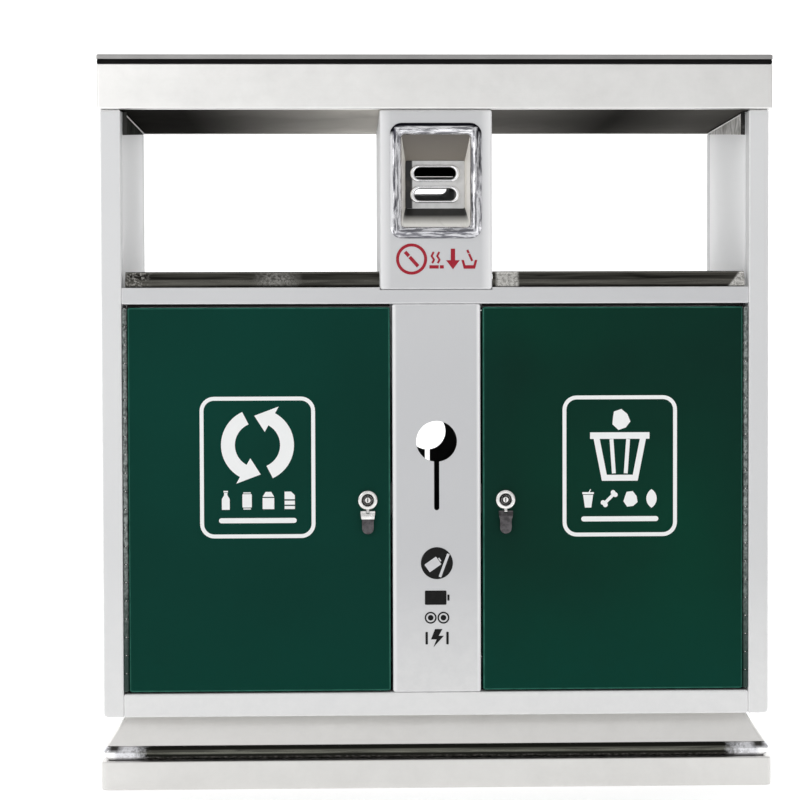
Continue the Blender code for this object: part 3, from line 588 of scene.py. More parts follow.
def pan(name, low, high, open_side, look, radius, node=None, body=ROOT, slot=None):
    """Folded sheet box, open on one side, with rounded folds and eased raw edges."""
    bm = block(low, high)
    axis = "XYZ".index(open_side[1])
    sign = 1.0 if open_side[0] == "+" else -1.0
    bm.normal_update()
    lid = [face for face in bm.faces if face.normal[axis] * sign > 0.5]
    bmesh.ops.delete(bm, geom=lid, context="FACES_ONLY")
    folds = [edge for edge in bm.edges if not edge.is_boundary]
    bmesh.ops.bevel(bm, geom=folds, offset=radius, segments=5, profile=0.5, affect="EDGES")
    return soften(thicken(piece(name, bm, look, node, body), SHEET), 0.0004, 2, 60.0)


def sheet_over(node, look):
    """Flat sheet in the place of a CAD node."""
    settle(bar(f"{node}_sheet", *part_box(node), look, 0.0004, node, segments=2))


def pan_over(node, open_side, look, radius, body=ROOT, ending="skin"):
    """Folded sheet box in the place of a CAD node."""
    return pan(f"{node}_{ending}", *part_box(node), open_side, look, radius, node, body)


def rounded_rectangle(half_a, half_b, radius, steps=6):
    points = []
    for quarter, (sa, sb) in enumerate(((1, 1), (-1, 1), (-1, -1), (1, -1))):
        for step in range(steps + 1):
            turn = math.radians(90.0 * (quarter + step / steps))
            points.append((sa * (half_a - radius) + radius * math.cos(turn),
                           sb * (half_b - radius) + radius * math.sin(turn)))
    return points


def arc(centre, radius, start, stop, steps):
    """Points on an arc, angles in degrees anticlockwise from the first axis."""
    turns = [math.radians(start + (stop - start) * i / steps) for i in range(steps + 1)]
    return [(centre[0] + radius * math.cos(t), centre[1] + radius * math.sin(t)) for t in turns]


def skin(bm, rings, closed=False, low_cap=False, high_cap=False):
    """Quads between rings of equal length, in order."""
    count = len(rings[0])
    pairs = list(zip(rings, rings[1:])) + ([(rings[-1], rings[0])] if closed else [])
    for lower, upper in pairs:
        for i in range(count):
            j = (i + 1) % count
            bm.faces.new((lower[i], lower[j], upper[j], upper[i]))
    if low_cap:
        bm.faces.new(rings[0][::-1])
    if high_cap:
        bm.faces.new(rings[-1])


def ribbon_faces(bm, line, spot, ends):
    """Open strip: the line's points carried between two ends, placed by spot(end, a, b)."""
    rows = [[bm.verts.new(spot(end, a, b)) for a, b in line] for end in ends]
    for i in range(len(line) - 1):
        bm.faces.new((rows[0][i], rows[0][i + 1], rows[1][i + 1], rows[1][i]))


def level_loft(sections, **caps):
    """Rounded rectangles (half_x, half_y, radius, z) skinned in order."""
    bm = bmesh.new()
    rings = [[bm.verts.new((a, b, z)) for a, b in rounded_rectangle(hx, hy, max(r, 0.0004))]
             for hx, hy, r, z in sections]
    skin(bm, rings, **caps)
    return bm


def facade_loft(front, sections):
    """Upright rounded rectangles (half_x, half_z, centre z, radius, y) skinned in order."""
    bm = bmesh.new()
    rings = []
    for half_a, half_b, centre_z, radius, y in sections:
        outline = rounded_rectangle(half_a, half_b, max(radius, 0.0008), 8)
        rings.append([bm.verts.new((front * a, front * y, centre_z + b)) for a, b in outline])
    skin(bm, rings)
    return bm


def add_prism(bm, outline, centre, near, far):
    """Outline in the plane of the front face, carried from near to far along Y."""
    cx, cy, cz = centre
    rings = [[bm.verts.new((cx + a, cy + y, cz + b)) for a, b in outline] for y in (near, far)]
    skin(bm, rings, low_cap=True, high_cap=True)


def prism(outline, centre, half_depth):
    bm = bmesh.new()
    add_prism(bm, outline, centre, -half_depth, half_depth)
    return bm


def add_slab(bm, outline, origin, half_width):
    """Outline in the plane of a side face, carried half_width to both sides."""
    rings = [[bm.verts.new(origin + Vector((dx, a, b))) for a, b in outline]
             for dx in (-half_width, half_width)]
    skin(bm, rings, low_cap=True, high_cap=True)


def turned(profile, centre, axis="Y", steps=48, bm=None):
    """Solid of revolution: closed loop of (radius, height along -Y, or along +Z or +X)."""
    bm = bm or bmesh.new()
    rings = []
    for radius, height in profile:
        ring = []
        for i in range(steps):
            t = 2 * math.pi * i / steps
            a, b = radius * math.cos(t), radius * math.sin(t)
            spot = {"Y": (a, -height, b), "Z": (a, b, height), "X": (height, a, b)}[axis]
            ring.append(bm.verts.new(Vector(centre) + Vector(spot)))
        rings.append(ring)
    skin(bm, rings, closed=True)
    return bm


def facing(front, y_near, y_far):
    return (y_near, y_far) if front > 0 else (-y_far, -y_near)


def outer_y(node, front):
    """Where the node's outer face lies, on its own side of the object."""
    low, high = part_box(node)
    return low.y if front > 0 else high.y


# ---------------------------------------------------------------- cap

def make_cap():
    low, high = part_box("cap_fascia")
    hem, lip, curl, edge = 0.012, 0.004, 0.0016, 0.0008
    outline = [(hem, low.z + lip), (hem, low.z), (curl, low.z)]
    outline += [(curl - curl * math.sin(t), low.z + curl - curl * math.cos(t))
                for t in (0.5, 1.0, math.pi / 2)]
    outline += [(0.0, high.z - edge), (edge, high.z), (hem, high.z)]
    bm = level_loft([(high.x - i, high.y - i, 0.003 - min(i, 0.002), z) for i, z in outline])
    settle(thicken(piece("cap_fascia_band", bm, "fascia", "cap_fascia", sharp=40.0), PLATE))
    inset = hem * 0.6
    settle(bar("cap_soffit", (-high.x + inset, -high.y + inset, low.z + 0.0011),
               (high.x - inset, high.y - inset, low.z + 0.0021), "soffit", 0.0003))
    low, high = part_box("cap_seam_strip")
    depth, swell = 0.010, 0.0006
    middle = (low.z + high.z) / 2
    bulge = [(depth, low.z), (swell, low.z), (0.0, middle - 0.001), (0.0, middle + 0.001),
             (swell, high.z), (depth, high.z)]
    bm = level_loft([(high.x - i, high.y - i, 0.003, z) for i, z in bulge], closed=True)
    settle(piece("cap_gasket", bm, "gasket", "cap_seam_strip"))
    settle(pan_over("cap_top", "-Z", "top", 0.0022, ending="sheet"))


# ---------------------------------------------------------------- plinth

def make_plinth():
    """Formed skirt and band, with the polished half-round bead let into its recess."""
    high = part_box("plinth")[1]
    band, bead_low, bead_high, skirt_low = 0.0388, 0.0392, 0.0580, 0.0585
    recess, flange, top_inset, thick, corner = 0.0095, 0.025, 0.030, 0.0015, 0.007
    outline = [(flange, 0.0), (0.0016, 0.0), (0.0005, 0.0005), (0.0, 0.0016), (0.0, band - 0.0030),
               (0.0004, band - 0.0013), (0.0013, band - 0.0004), (0.0030, band),
               (recess, bead_low), (recess, bead_high), (0.0072, skirt_low - 0.0008),
               (0.0066, skirt_low), (0.0074, skirt_low + 0.0012),
               (top_inset - 0.0008, high.z - 0.0012), (top_inset + 0.0002, high.z - 0.0002),
               (top_inset + 0.0018, high.z)]
    bm = level_loft([(high.x - i, high.y - i, corner, z) for i, z in outline], high_cap=True)
    settle(thicken(piece("plinth_shell", bm, "skirt", "plinth", sharp=30.0), thick))
    middle, rise = (bead_low + bead_high) / 2, (bead_high - bead_low) / 2 - 0.0002
    bulge = recess - 0.0026
    loop = [(recess - 0.0002, middle - rise)]
    loop += [(recess - 0.0006 - bulge * math.cos(t), middle + rise * math.sin(t))
             for t in [math.radians(-84 + 168 * i / 14) for i in range(15)]]
    loop.append((recess - 0.0002, middle + rise))
    bm = level_loft([(high.x - i, high.y - i, corner, z) for i, z in loop], closed=True)
    settle(piece("plinth_bead", bm, "bead"))


# ---------------------------------------------------------------- frame and panels

def make_posts():
    for face, _ in FACES:
        for side, sign in SIDES:
            node = f"post_{face}_{side}"
            low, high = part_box(node)
            bm = block(low, high)
            middle = abs(low.x + high.x) / 2
            foot = [edge for edge in bm.edges
                    if all(v.co.z < 0.2 and v.co.x * sign > middle for v in edge.verts)]
            bmesh.ops.bevel(bm, geom=foot, offset=0.006, segments=6, profile=0.5, affect="EDGES")
            settle(soften(piece(f"{node}_tube", bm, "silver", node), 0.0026, 4))


def make_panels():
    for side, sign in SIDES:
        sheet_over(f"side_panel_{side}", "silver")
        sheet_over(f"window_liner_{side}", "liner")
        settle(pan_over(f"rear_panel_{side}", "-Y", "green", 0.0030))
        make_gusset(side, sign)


def make_gusset(side, sign):
    """Tapered corner plate with a folded flange along its deep front edge and a hem, painted pale on the
    right and dark on the left as painted light and shade.
    """
    node = f"eaves_gusset_{side}"
    low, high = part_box(node)
    inner = low.x if sign > 0 else high.x
    shallow, flange, radius = 0.003, 0.0045, 0.0011
    bm = bmesh.new()
    corners = [(inner - sign * flange, low.y + 0.0006, low.z), (inner, low.y + 0.0006, low.z),
               (inner, high.y, high.z - shallow)]
    rows = [[bm.verts.new(spot) for spot in corners],
            [bm.verts.new((x, y, high.z - 0.0002)) for x, y, _ in corners]]
    for i in range(2):
        bm.faces.new((rows[0][i], rows[0][i + 1], rows[1][i + 1], rows[1][i]))
    plate = thicken(piece(f"{node}_plate", bm, f"gusset_{side}", node), PLATE, sign)
    settle(soften(plate, 0.0003, 2, 60.0))
    bm = bmesh.new()
    outline = arc((inner - sign * 0.0006, high.z - 0.0014), radius, 0, 360, 12)[:-1]
    rings = [[bm.verts.new((a, y, b)) for a, b in outline] for y in (low.y + 0.0012, high.y - 0.0010)]
    skin(bm, rings, low_cap=True, high_cap=True)
    settle(piece(f"{node}_hem", bm, f"hem_{side}"))


def make_rails():
    """Channels let a little into the posts; the middle ones are notched for the ashtray's panel."""
    reach = Vector((0.0003, 0, 0))
    fit = 0.0004
    for face, front in FACES:
        node = f"bottom_rail_{face}"
        low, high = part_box(node)
        settle(bar(f"{node}_channel", low - reach, high + reach, "silver", 0.0028, node))
        node = f"mid_rail_{face}"
        low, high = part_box(node)
        panel_low, panel_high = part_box(f"ashtray_panel_{face}")
        rail = bar(f"{node}_channel", low - reach, high + reach, "rail", 0.0022, node)
        near = low.y if front > 0 else -high.y
        notch_y = facing(front, near - 0.001, near + 0.0135)
        cut(rail, block((panel_low.x - fit, notch_y[0], panel_low.z - fit),
                        (panel_high.x + fit, notch_y[1], high.z + 0.001)))
        settle(rail)
        make_seals(face, front, low.z)


def make_seals(face, front, top):
    """Black strips under the middle rail, which the doors and the rear panels close against."""
    near, far = facing(front, 0.0010, 0.0)
    for side, _ in SIDES:
        low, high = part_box(f"door_skin_{side}" if front > 0 else f"rear_panel_{side}")
        settle(bar(f"seal_{face}_{side}", (low.x, low.y + near, high.z + 0.0009),
                   (high.x, high.y + far, top + 0.0002), "gasket", 0.0006, segments=2))


def make_column():
    """Lower panels with the key-hole shaped drop hole, upper ones with the ashtray's mouth."""
    hole_z, hole_radius, slot_half, slot_low = 0.4646, 0.0273, 0.0035, 0.372
    middle = (slot_low + hole_z) / 2
    slot = rounded_rectangle(slot_half, middle - slot_low, slot_half * 0.99)
    mouth, mouth_z = rounded_rectangle(0.0555, 0.072, 0.006), 0.813
    for face, front in FACES:
        inward = "+Y" if front > 0 else "-Y"
        lower = pan_over(f"column_panel_{face}", inward, "column", 0.0032)
        y = outer_y(f"column_panel_{face}", front)
        drill(lower, (0, y, hole_z), hole_radius, 0.02, 72)
        cut(lower, prism(slot, (0, y, middle), 0.01))
        settle(lower)
        upper = pan_over(f"ashtray_panel_{face}", inward, "column", 0.0032)
        cut(upper, prism(mouth, (0, outer_y(f"ashtray_panel_{face}", front), mouth_z), 0.003))
        settle(upper)
    for side, _ in SIDES:
        sheet_over(f"column_cheek_{side}", "silver")


def make_sill_guards():
    """Polished lip: flat foot on the rail, upright face, sloped face and rolled edge."""
    roll = 0.0022
    for face, front in FACES:
        for side, _ in SIDES:
            node = f"sill_guard_{face}_{side}"
            low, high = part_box(node)
            line = [(0.0158, low.z + 0.0006), (0.0016, low.z + 0.0006), (0.0006, low.z + 0.0016),
                    (0.0006, low.z + 0.0088), (0.0010, low.z + 0.0096), (0.0056, high.z - 0.0030)]
            line += arc((0.0076, high.z - roll - 0.0005), roll, 165, -30, 8)
            near = low.y if front > 0 else -high.y
            bm = bmesh.new()
            ribbon_faces(bm, line, lambda x, a, b: (x, front * (near + a), b), (low.x, high.x))
            guard = piece(f"{node}_lip", bm, "sill", node, sharp=24.0)
            settle(soften(thicken(guard, PLATE, 0.0), 0.0002, 2, 70.0))


# ---------------------------------------------------------------- doors, hinges and locks

def make_doors():
    for side, sign in SIDES:
        body, node = f"{side}_door", f"door_skin_{side}"
        door = pan_over(node, "+Y", "green", 0.0034, body, "painted")
        axis = joint_place(f"{side}_lock_turn")
        drill(door, (axis.x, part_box(node)[0].y, axis.z), 0.0099, 0.01, 48)
        settle(door)
        make_hinge(side, sign)
        make_lock(side, body, axis)


def joint_place(name):
    return Vector(next(j["pos_m"] for j in frame["joints"] if j["name"] == name))


def make_hinge(side, sign):
    """Continuous hinge: two leaves whose rolled knuckles alternate along the pin."""
    axis = joint_place(f"{side}_door_hinge")
    low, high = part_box(f"hinge_leaf_frame_{side}")
    radius, leaf, knuckles, pin, play = 0.0034, 0.0010, 21, 0.0014, 0.0006
    pitch = (high.z - low.z) / knuckles
    for node, first, toward, body, back in (
            (f"hinge_leaf_frame_{side}", 0, sign, ROOT, 0.0195),
            (f"hinge_leaf_door_{side}", 1, -sign, f"{side}_door", 0.0160)):
        bm = bmesh.new()
        for index in range(first, knuckles, 2):
            bottom = low.z + index * pitch
            add_knuckle(bm, axis, toward, radius, leaf, bottom + play, bottom + pitch - play)
        plate_x = sorted((axis.x + toward * (radius - leaf), axis.x + toward * radius))
        settle(piece(f"{node}_knuckles", bm, "hinge", node, body, sharp=40.0))
        settle(bar(f"{node}_plate", (plate_x[0], axis.y + radius + 0.0004, low.z),
                   (plate_x[1], axis.y + back, high.z), "hinge", 0.0003, body=body, segments=2))
    rod, end, core = pin - 0.0002, 0.0002, 0.00005
    bm = turned([(rod, low.z + end), (rod, high.z - end), (pin - 0.0006, high.z + end),
                 (core, high.z + end), (core, low.z - end), (pin - 0.0006, low.z - end)],
                (axis.x, axis.y, 0), "Z", 20)
    settle(piece(f"hinge_pin_{side}_rod", bm, "lock", f"hinge_pin_{side}"))


def add_knuckle(bm, axis, toward, radius, leaf, bottom, top):
    """Strap rolled round the pin: an outer curl and an inner curl joined into one wall."""
    curl, hollow = [[(toward * a, b) for a, b in [(r, radius + 0.0010)] + arc((0, 0), r, 0, -250.0, 18)]
                    for r in (radius, radius - leaf)]
    rings = [[bm.verts.new((axis.x + a, axis.y + b, z)) for a, b in curl + hollow[::-1]]
             for z in (bottom, top)]
    skin(bm, rings)
    last = 2 * len(curl) - 1
    for ring, order in ((rings[0], -1), (rings[1], 1)):
        for i in range(len(curl) - 1):
            bm.faces.new((ring[i], ring[i + 1], ring[last - 1 - i], ring[last - i])[::order])


LUG_HALF = 0.0018  # of the lock's lug, which carries the flap's pin


def make_lock(side, body, axis):
    door_y, inner_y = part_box(f"door_skin_{side}")[0].y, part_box(f"lock_body_{side}")[1].y
    face, back = door_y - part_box(f"lock_plug_{side}")[0].y + 0.0006, -(inner_y - door_y)
    centre = (axis.x, door_y, axis.z)
    bezel, barrel, bore, crown = 0.0133, 0.0095, 0.0064, 0.0022
    step = bore + 0.0019
    rim = [(bore, back), (bore, face - crown), (step, face - crown), (step, face - 0.0008),
           (step + 0.0008, face)]
    rim += [(bezel - crown + crown * math.sin(t), face - crown + crown * math.cos(t))
            for t in [math.radians(90 * i / 6) for i in range(7)]]
    rim += [(bezel, 0.0003), (barrel, 0.0003), (barrel, back)]
    bm = turned(rim, centre)
    lug = arc((0.0, 0.0), 0.0012, 90, 270, 8)
    lug += [(0.0062, -0.0012), (0.0062, 0.0040), (0.0022, 0.0040), (0.0016, 0.0012)]
    add_slab(bm, lug, joint_place(f"{side}_flap_hinge"), LUG_HALF)
    settle(piece(f"lock_bezel_{side}", bm, "lock", f"lock_body_{side}", body))
    # Painted shade: a black ring laid in the bezel's recess round the plug.
    ring = [(bore + 0.0001, face - 0.0021), (step - 0.0001, face - 0.0021),
            (step - 0.0001, face - 0.0014), (bore + 0.0001, face - 0.0014)]
    settle(piece(f"lock_recess_shade_ring_{side}", turned(ring, centre), "gasket", body=body))
    nut = [(barrel + 0.0002, -0.0016), (barrel + 0.0032, -0.0016), (barrel + 0.0038, -0.0022),
           (barrel + 0.0038, -0.0046), (barrel + 0.0032, -0.0052), (barrel + 0.0002, -0.0052)]
    bm = turned(nut, centre, steps=6)
    settle(piece(f"lock_nut_{side}", bm, "zinc", None, body, 30.0))
    make_plug_and_cam(side, axis, door_y)
    make_flap(side)


def make_plug_and_cam(side, axis, door_y):
    """Plug with its key-way, the cam behind the door, and the bolt that holds it."""
    body = f"{side}_lock"
    low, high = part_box(f"lock_plug_{side}")
    face, back, radius, core = door_y - low.y, -(high.y - door_y), 0.0061, 0.00005
    centre = (axis.x, door_y, axis.z)
    bm = turned([(radius, back), (radius, face - 0.0016), (radius - 0.0004, face - 0.0012),
                 (0.0040, face - 0.0012), (0.0039, face - 0.0004), (0.0035, face),
                 (core, face), (core, back)], centre)
    plug = piece(f"lock_plug_{side}_turned", bm, "lock", f"lock_plug_{side}", body)
    key = rounded_rectangle(0.0007, 0.0028, 0.0006, 3)
    cut(plug, prism(key, (axis.x, low.y, axis.z), 0.0030))
    settle(plug)
    # Painted shadow: a dark ring in the plug's well and a dark sheet at the back of the key-way.
    bm = turned([(0.0041, face - 0.00118), (radius - 0.0005, face - 0.00118),
                 (radius - 0.0005, face - 0.00095), (0.0041, face - 0.00095)], centre)
    settle(piece(f"lock_plug_well_{side}", bm, "keyway", body=body))
    bm = prism(key, (axis.x, low.y + 0.0026, axis.z), 0.0003)
    settle(piece(f"lock_keyway_{side}", bm, "keyway", body=body))
    low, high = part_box(f"lock_cam_{side}")
    outline = rounded_rectangle((high.x - low.x) / 2, (high.z - low.z) / 2, 0.0064, 8)
    middle = (axis.x, (low.y + high.y) / 2, (low.z + high.z) / 2)
    bm = prism(outline, middle, (high.y - low.y) / 2)
    cam = piece(f"lock_cam_{side}_bar", bm, "zinc", f"lock_cam_{side}", body)
    settle(soften(cam, 0.0004, 2))
    bolt = [(0.0001, -0.0022), (0.0030, -0.0022), (0.0038, -0.0010), (0.0038, -0.0001),
            (0.0001, -0.0001)]
    bm = turned(bolt, (axis.x, high.y, axis.z), steps=6)
    settle(piece(f"lock_cam_bolt_{side}", bm, "zinc", None, body, 25.0))


def make_flap(side):
    """Dust flap: two knuckles beside the lug, a bent neck and a dished tab with a round end."""
    body, node = f"{side}_flap", f"lock_flap_{side}"
    pivot = joint_place(f"{side}_flap_hinge")
    bm = bmesh.new()
    neck_half, neck_drop, notch, half = 0.0096, -0.0100, LUG_HALF + 0.0004, 0.0078
    for start, end in ((-neck_half, -notch), (notch, neck_half)):
        turned([(0.0003, start), (0.0003, end), (0.0011, end), (0.0011, start)], pivot, "X", 20, bm)
        middle, reach = Vector(((start + end) / 2, 0.0, 0.0)), (end - start) / 2
        add_strip(bm, pivot + middle, [(-0.0004, reach, 0.0004), (-0.0024, reach, 0.0001)])
    stations = [(-0.0022, neck_half, 0.0001), (-0.0036, neck_half, -0.0003),
                (-0.0070, neck_half - 0.0005, -0.0006), (neck_drop, neck_half - 0.0012, -0.0003)]
    add_strip(bm, pivot, stations)
    # The left neck keeps the bright plating; the right one gets it in painted shade.
    settle(piece(f"{node}_neck", bm, "lock" if side == "left" else "lock_shaded", node, body, sharp=35.0))
    bm = bmesh.new()
    round_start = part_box(node)[0].z - pivot.z + half
    stations = [(neck_drop - 0.0002, half, -0.0001)]
    for t in [math.radians(90.0 * i / 8) for i in range(9)]:
        stations.append((round_start - half * math.sin(t), max(half * math.cos(t), 0.0006),
                         0.0002 * math.sin(t)))
    add_strip(bm, pivot, stations)
    # Painted shade: the tab gets the dark copy of the plating.
    settle(piece(f"{node}_tab", bm, "lock_shaded", node, body, sharp=35.0))


def add_strip(bm, origin, stations):
    """Plate through stations (drop, half width, bow), dished a little across its middle."""
    rings = []
    for drop, half, bow in stations:
        ring = [(-half, bow), (-half * 0.5, bow - 0.0003), (half * 0.5, bow - 0.0003), (half, bow)]
        near = [(x, y - PLATE / 2) for x, y in ring]
        far = [(x, y + PLATE / 2) for x, y in reversed(ring)]
        rings.append([bm.verts.new(origin + Vector((x, y, drop))) for x, y in near + far])
    skin(bm, rings, low_cap=True, high_cap=True)


# ---------------------------------------------------------------- ashtrays

BACK_Y, BACK_Z, BACK_HALF = -0.1352, 0.810, (0.0400, 0.0320)  # plate at the back of the scoop
PRESSED = 0.0008  # sheet of the flange and the scoop


def make_ashtrays():
    for face, front in FACES:
        body, node = f"{face}_ashtray", f"ashtray_insert_{face}"
        low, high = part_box(node)
        plane = (low.y if front > 0 else -high.y) + 0.0018
        middle, half_z, rim = (low.z + high.z) / 2, (high.z - low.z) / 2, 0.0155
        sections = [(high.x - inset, half_z - inset, middle, 0.016 - inset * 0.75, plane - height)
                    for inset, height in ((0.0, 0.0002), (0.0004, 0.0012), (0.0022, 0.0025),
                                          (0.0048, 0.0038), (0.0080, 0.0046), (0.0105, 0.0043),
                                          (0.0132, 0.0031), (rim - 0.0006, 0.0014), (rim, -0.0004))]
        first = sections[-1]
        for step in range(1, 9):
            share = step / 8
            ease = share if step < 8 else 0.985
            sections.append((first[0] + (BACK_HALF[0] - first[0]) * ease,
                             first[1] + (BACK_HALF[1] - first[1]) * ease,
                             first[2] + (BACK_Z - first[2]) * ease, 0.0050 - 0.0015 * share,
                             first[4] + (BACK_Y - first[4]) * share))
        for look, part in (("flange", sections[:9]), ("scoop", sections[8:])):
            bm = facade_loft(front, part)
            settle(thicken(piece(f"ashtray_{look}_{face}", bm, look, node, body, sharp=60.0), PRESSED))
        make_ashtray_back(face, front, body)
        near, far = facing(front, BACK_Y + 0.0009, BACK_Y + 0.0600)
        settle(pan(f"ash_box_{face}", (-0.041, near, 0.7425), (0.041, far, 0.7850), "+Z", "zinc",
                   0.0030, body=body, slot="polished_stainless"))


def make_ashtray_back(face, front, body):
    """Back plate with two rounded slots, each with a rolled lip pressed towards the user."""
    near, far = facing(front, BACK_Y - 0.0003, BACK_Y + 0.0007)
    bm = block((-BACK_HALF[0], near, BACK_Z - BACK_HALF[1]), (BACK_HALF[0], far, BACK_Z + BACK_HALF[1]))
    plate = piece(f"ashtray_back_{face}", bm, "scoop", body=body, sharp=30.0)
    lips = bmesh.new()
    slot_x, slot_z, roll = 0.0288, 0.0082, 0.0023
    for z in (0.7965, 0.8250):
        hole = rounded_rectangle(slot_x, slot_z, slot_z * 0.99, 8)
        cut(plate, prism(hole, (0, front * BACK_Y, z), 0.003))
        loop = []
        for i in range(10):
            t = 2 * math.pi * i / 10
            grow, height = 0.0016 + roll * math.cos(t), 0.0010 + roll * math.sin(t)
            half_z = slot_z + 0.85 * grow
            outline = rounded_rectangle(slot_x + 1.3 * grow, half_z, half_z * 0.99, 8)
            loop.append([lips.verts.new((front * a, front * (BACK_Y - height), z + b))
                         for a, b in outline])
        skin(lips, loop, closed=True)
    settle(plate)
    settle(piece(f"ashtray_slot_lips_{face}", lips, "lip", body=body))


# ---------------------------------------------------------------- inside

def make_buckets():
    """Galvanised liners with swage ribs, a wired rim and riveted ears for the bail."""
    foot, top, rim_z, bead, wall = (0.136, 0.104), (0.150, 0.118), 0.560, 0.0026, 0.0009
    for side, _ in SIDES:
        node = f"bucket_{side}"
        low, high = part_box(node)
        centre, depth = (low.x + high.x) / 2, rim_z - low.z
        sections = []
        levels = [(0.0, -0.012), (0.001, -0.006), (0.006, 0.0)]
        levels += [(i * 0.455 / 46 + 0.008, 0.0) for i in range(1, 46)] + [(depth - 0.006, 0.0)]
        for rise, grow in levels:
            rib = 0.0022 * sum(math.exp(-((rise - at) / 0.006) ** 2) for at in (0.075, 0.36))
            size = [foot[i] + (top[i] - foot[i]) * rise / depth + grow + rib for i in (0, 1)]
            sections.append((*size, 0.020 + rib, low.z + rise))
        for t in [math.radians(-90 + 250 * i / 8) for i in range(9)]:
            size = [s + 0.0030 + bead * math.cos(t) for s in top]
            sections.append((*size, 0.023, rim_z - 0.0030 + bead * math.sin(t)))
        bm = level_loft(sections, low_cap=True)
        bmesh.ops.translate(bm, verts=bm.verts, vec=(centre, 0.0, 0.0))
        settle(thicken(piece(f"{node}_liner", bm, "zinc", node, sharp=50.0), wall))
        make_bail(side, centre)


def make_bail(side, centre):
    """Riveted ears on the rim and the bent wire that swings in them."""
    pivot = joint_place(f"{side}_bail_hinge")
    ear_x, wire, core = 0.1512, 0.0029, 0.00005
    outline = [(-0.010, -0.030), (0.010, -0.030), (0.010, -0.002)]
    outline += arc((0, 0), 0.0088, 10, 170, 10) + [(-0.010, -0.002)]
    rivet = [(core, -0.0016), (0.0022, -0.0016), (0.0026, -0.0006), (0.0026, 0.0002), (core, 0.0002)]
    ears = bmesh.new()
    for end in (-1.0, 1.0):
        x = centre + end * ear_x
        add_slab(ears, outline, Vector((x, 0, pivot.z)), 0.0007)
        for y in (-0.0055, 0.0055):
            turned(rivet, (x + end * 0.0008, y, pivot.z - 0.022), "X", 16, ears)
    settle(piece(f"bucket_ears_{side}", ears, "zinc"))
    arm, out, bend, reach = 0.1440, 0.1565, 0.016, 0.1190
    route = [(out, 0), (arm + 0.0030, 0)]
    route += arc((arm + 0.0030, -0.003), 0.003, 90, 180, 4)[1:]
    route += arc((arm - bend, -reach + bend), bend, 0, -90, 8)
    route = [Vector((a, b, 0)) for a, b in route + [(-a, b) for a, b in reversed(route)]]
    bm = tube(route, wire, Vector((centre, 0, pivot.z)))
    settle(piece(f"bail_{side}_wire", bm, "zinc", f"bail_{side}", f"{side}_bail", sharp=50.0))


def tube(route, radius, origin, sides=14):
    """Round wire along a flat route with closed ends."""
    bm = bmesh.new()
    rings = []
    for i, spot in enumerate(route):
        ahead = route[min(i + 1, len(route) - 1)] - route[max(i - 1, 0)]
        side = Vector((-ahead.y, ahead.x, 0)).normalized()
        rings.append([bm.verts.new(origin + spot
                                   + side * radius * math.cos(2 * math.pi * k / sides)
                                   + Vector((0, 0, radius * math.sin(2 * math.pi * k / sides))))
                      for k in range(sides)])
    skin(bm, rings, low_cap=True, high_cap=True)
    return bm


def dress_cad_nodes():
    """Hidden sheets that keep their CAD shape and only need a finish; the lock keepers get theirs in
    painted shade.
    """
    finishes = {"floor_pan": "zinc", "battery_box": "zinc"}
    for side, _ in SIDES:
        finishes[f"partition_{side}"] = finishes[f"door_stiffener_{side}"] = "zinc"
        # Painted shade: the keepers get the galvanised steel made near black.
        finishes[f"lock_keeper_{side}"] = "keeper"
    for node, look in finishes.items():
        materials = frame["nodes"][node].data.materials
        materials.clear()
        materials.append(MATERIALS[look])


# ---------------------------------------------------------------- signs

FILM = 0.00018
LAYER = 0.000004  # each shape of one film lies a little above the one before it


def film(name, look, shapes, centre, body=ROOT, front=1.0, lift=0.0):
    """Thin cut film on a face. Shapes are outlines (x, z) about centre, seen from outside."""
    bm = bmesh.new()
    near = -front * (0.00008 + lift)
    far = -front * (0.00008 + lift + FILM)
    for index, outline in enumerate(shapes):
        flat = [(front * a, b) for a, b in outline]
        add_prism(bm, flat, centre, near, far - front * index * LAYER)
    bm.normal_update()
    bmesh.ops.triangulate(bm, faces=[face for face in bm.faces if len(face.verts) > 4])
    obj = piece(name, bm, look, body=body)
    obj.data.shade_flat()
    del obj["settle"]


def ribbon(points, width, closed=False):
    """Outline of a line of even width; a closed line gives two halves that meet."""
    if closed:
        half = len(points) // 2
        return ribbon(points[:half + 1], width) + ribbon(points[half:] + points[:1], width)
    sides = ([], [])
    for i, spot in enumerate(points):
        here = Vector(spot)
        arrive = (here - Vector(points[max(i - 1, 0)])).normalized()
        leave = (Vector(points[min(i + 1, len(points) - 1)]) - here).normalized()
        along = (arrive + leave).normalized()
        normal = Vector((-along.y, along.x))
        turn = max(normal.dot(Vector((-leave.y, leave.x)) if leave.length else normal), 0.35)
        sides[0].append(tuple(here + normal * (width / 2 / turn)))
        sides[1].append(tuple(here - normal * (width / 2 / turn)))
    return [sides[0] + sides[1][::-1]]


def moved(shapes, dx, dz, size=1.0, turn=0.0):
    c, s = math.cos(math.radians(turn)), math.sin(math.radians(turn))
    return [[(dx + size * (a * c - b * s), dz + size * (a * s + b * c)) for a, b in outline]
            for outline in shapes]


def mirrored(*points):
    """Outline that is even about the upright axis, from its right half, lowest point first."""
    first, *rest = points
    return [(-first[0], first[1]), first, *rest] + [(-a, b) for a, b in reversed(rest)]


def disc(radius, steps=28, centre=(0.0, 0.0)):
    return [arc(centre, radius, 0, 360, steps)[:-1]]


def hoop(radius, width, steps=28):
    return ribbon(disc(radius, steps)[0], width, True)


def box_shape(half_a, half_b, radius=0.0006, centre=(0.0, 0.0)):
    return [[(centre[0] + a, centre[1] + b)
             for a, b in rounded_rectangle(half_a, half_b, radius, 3)]]


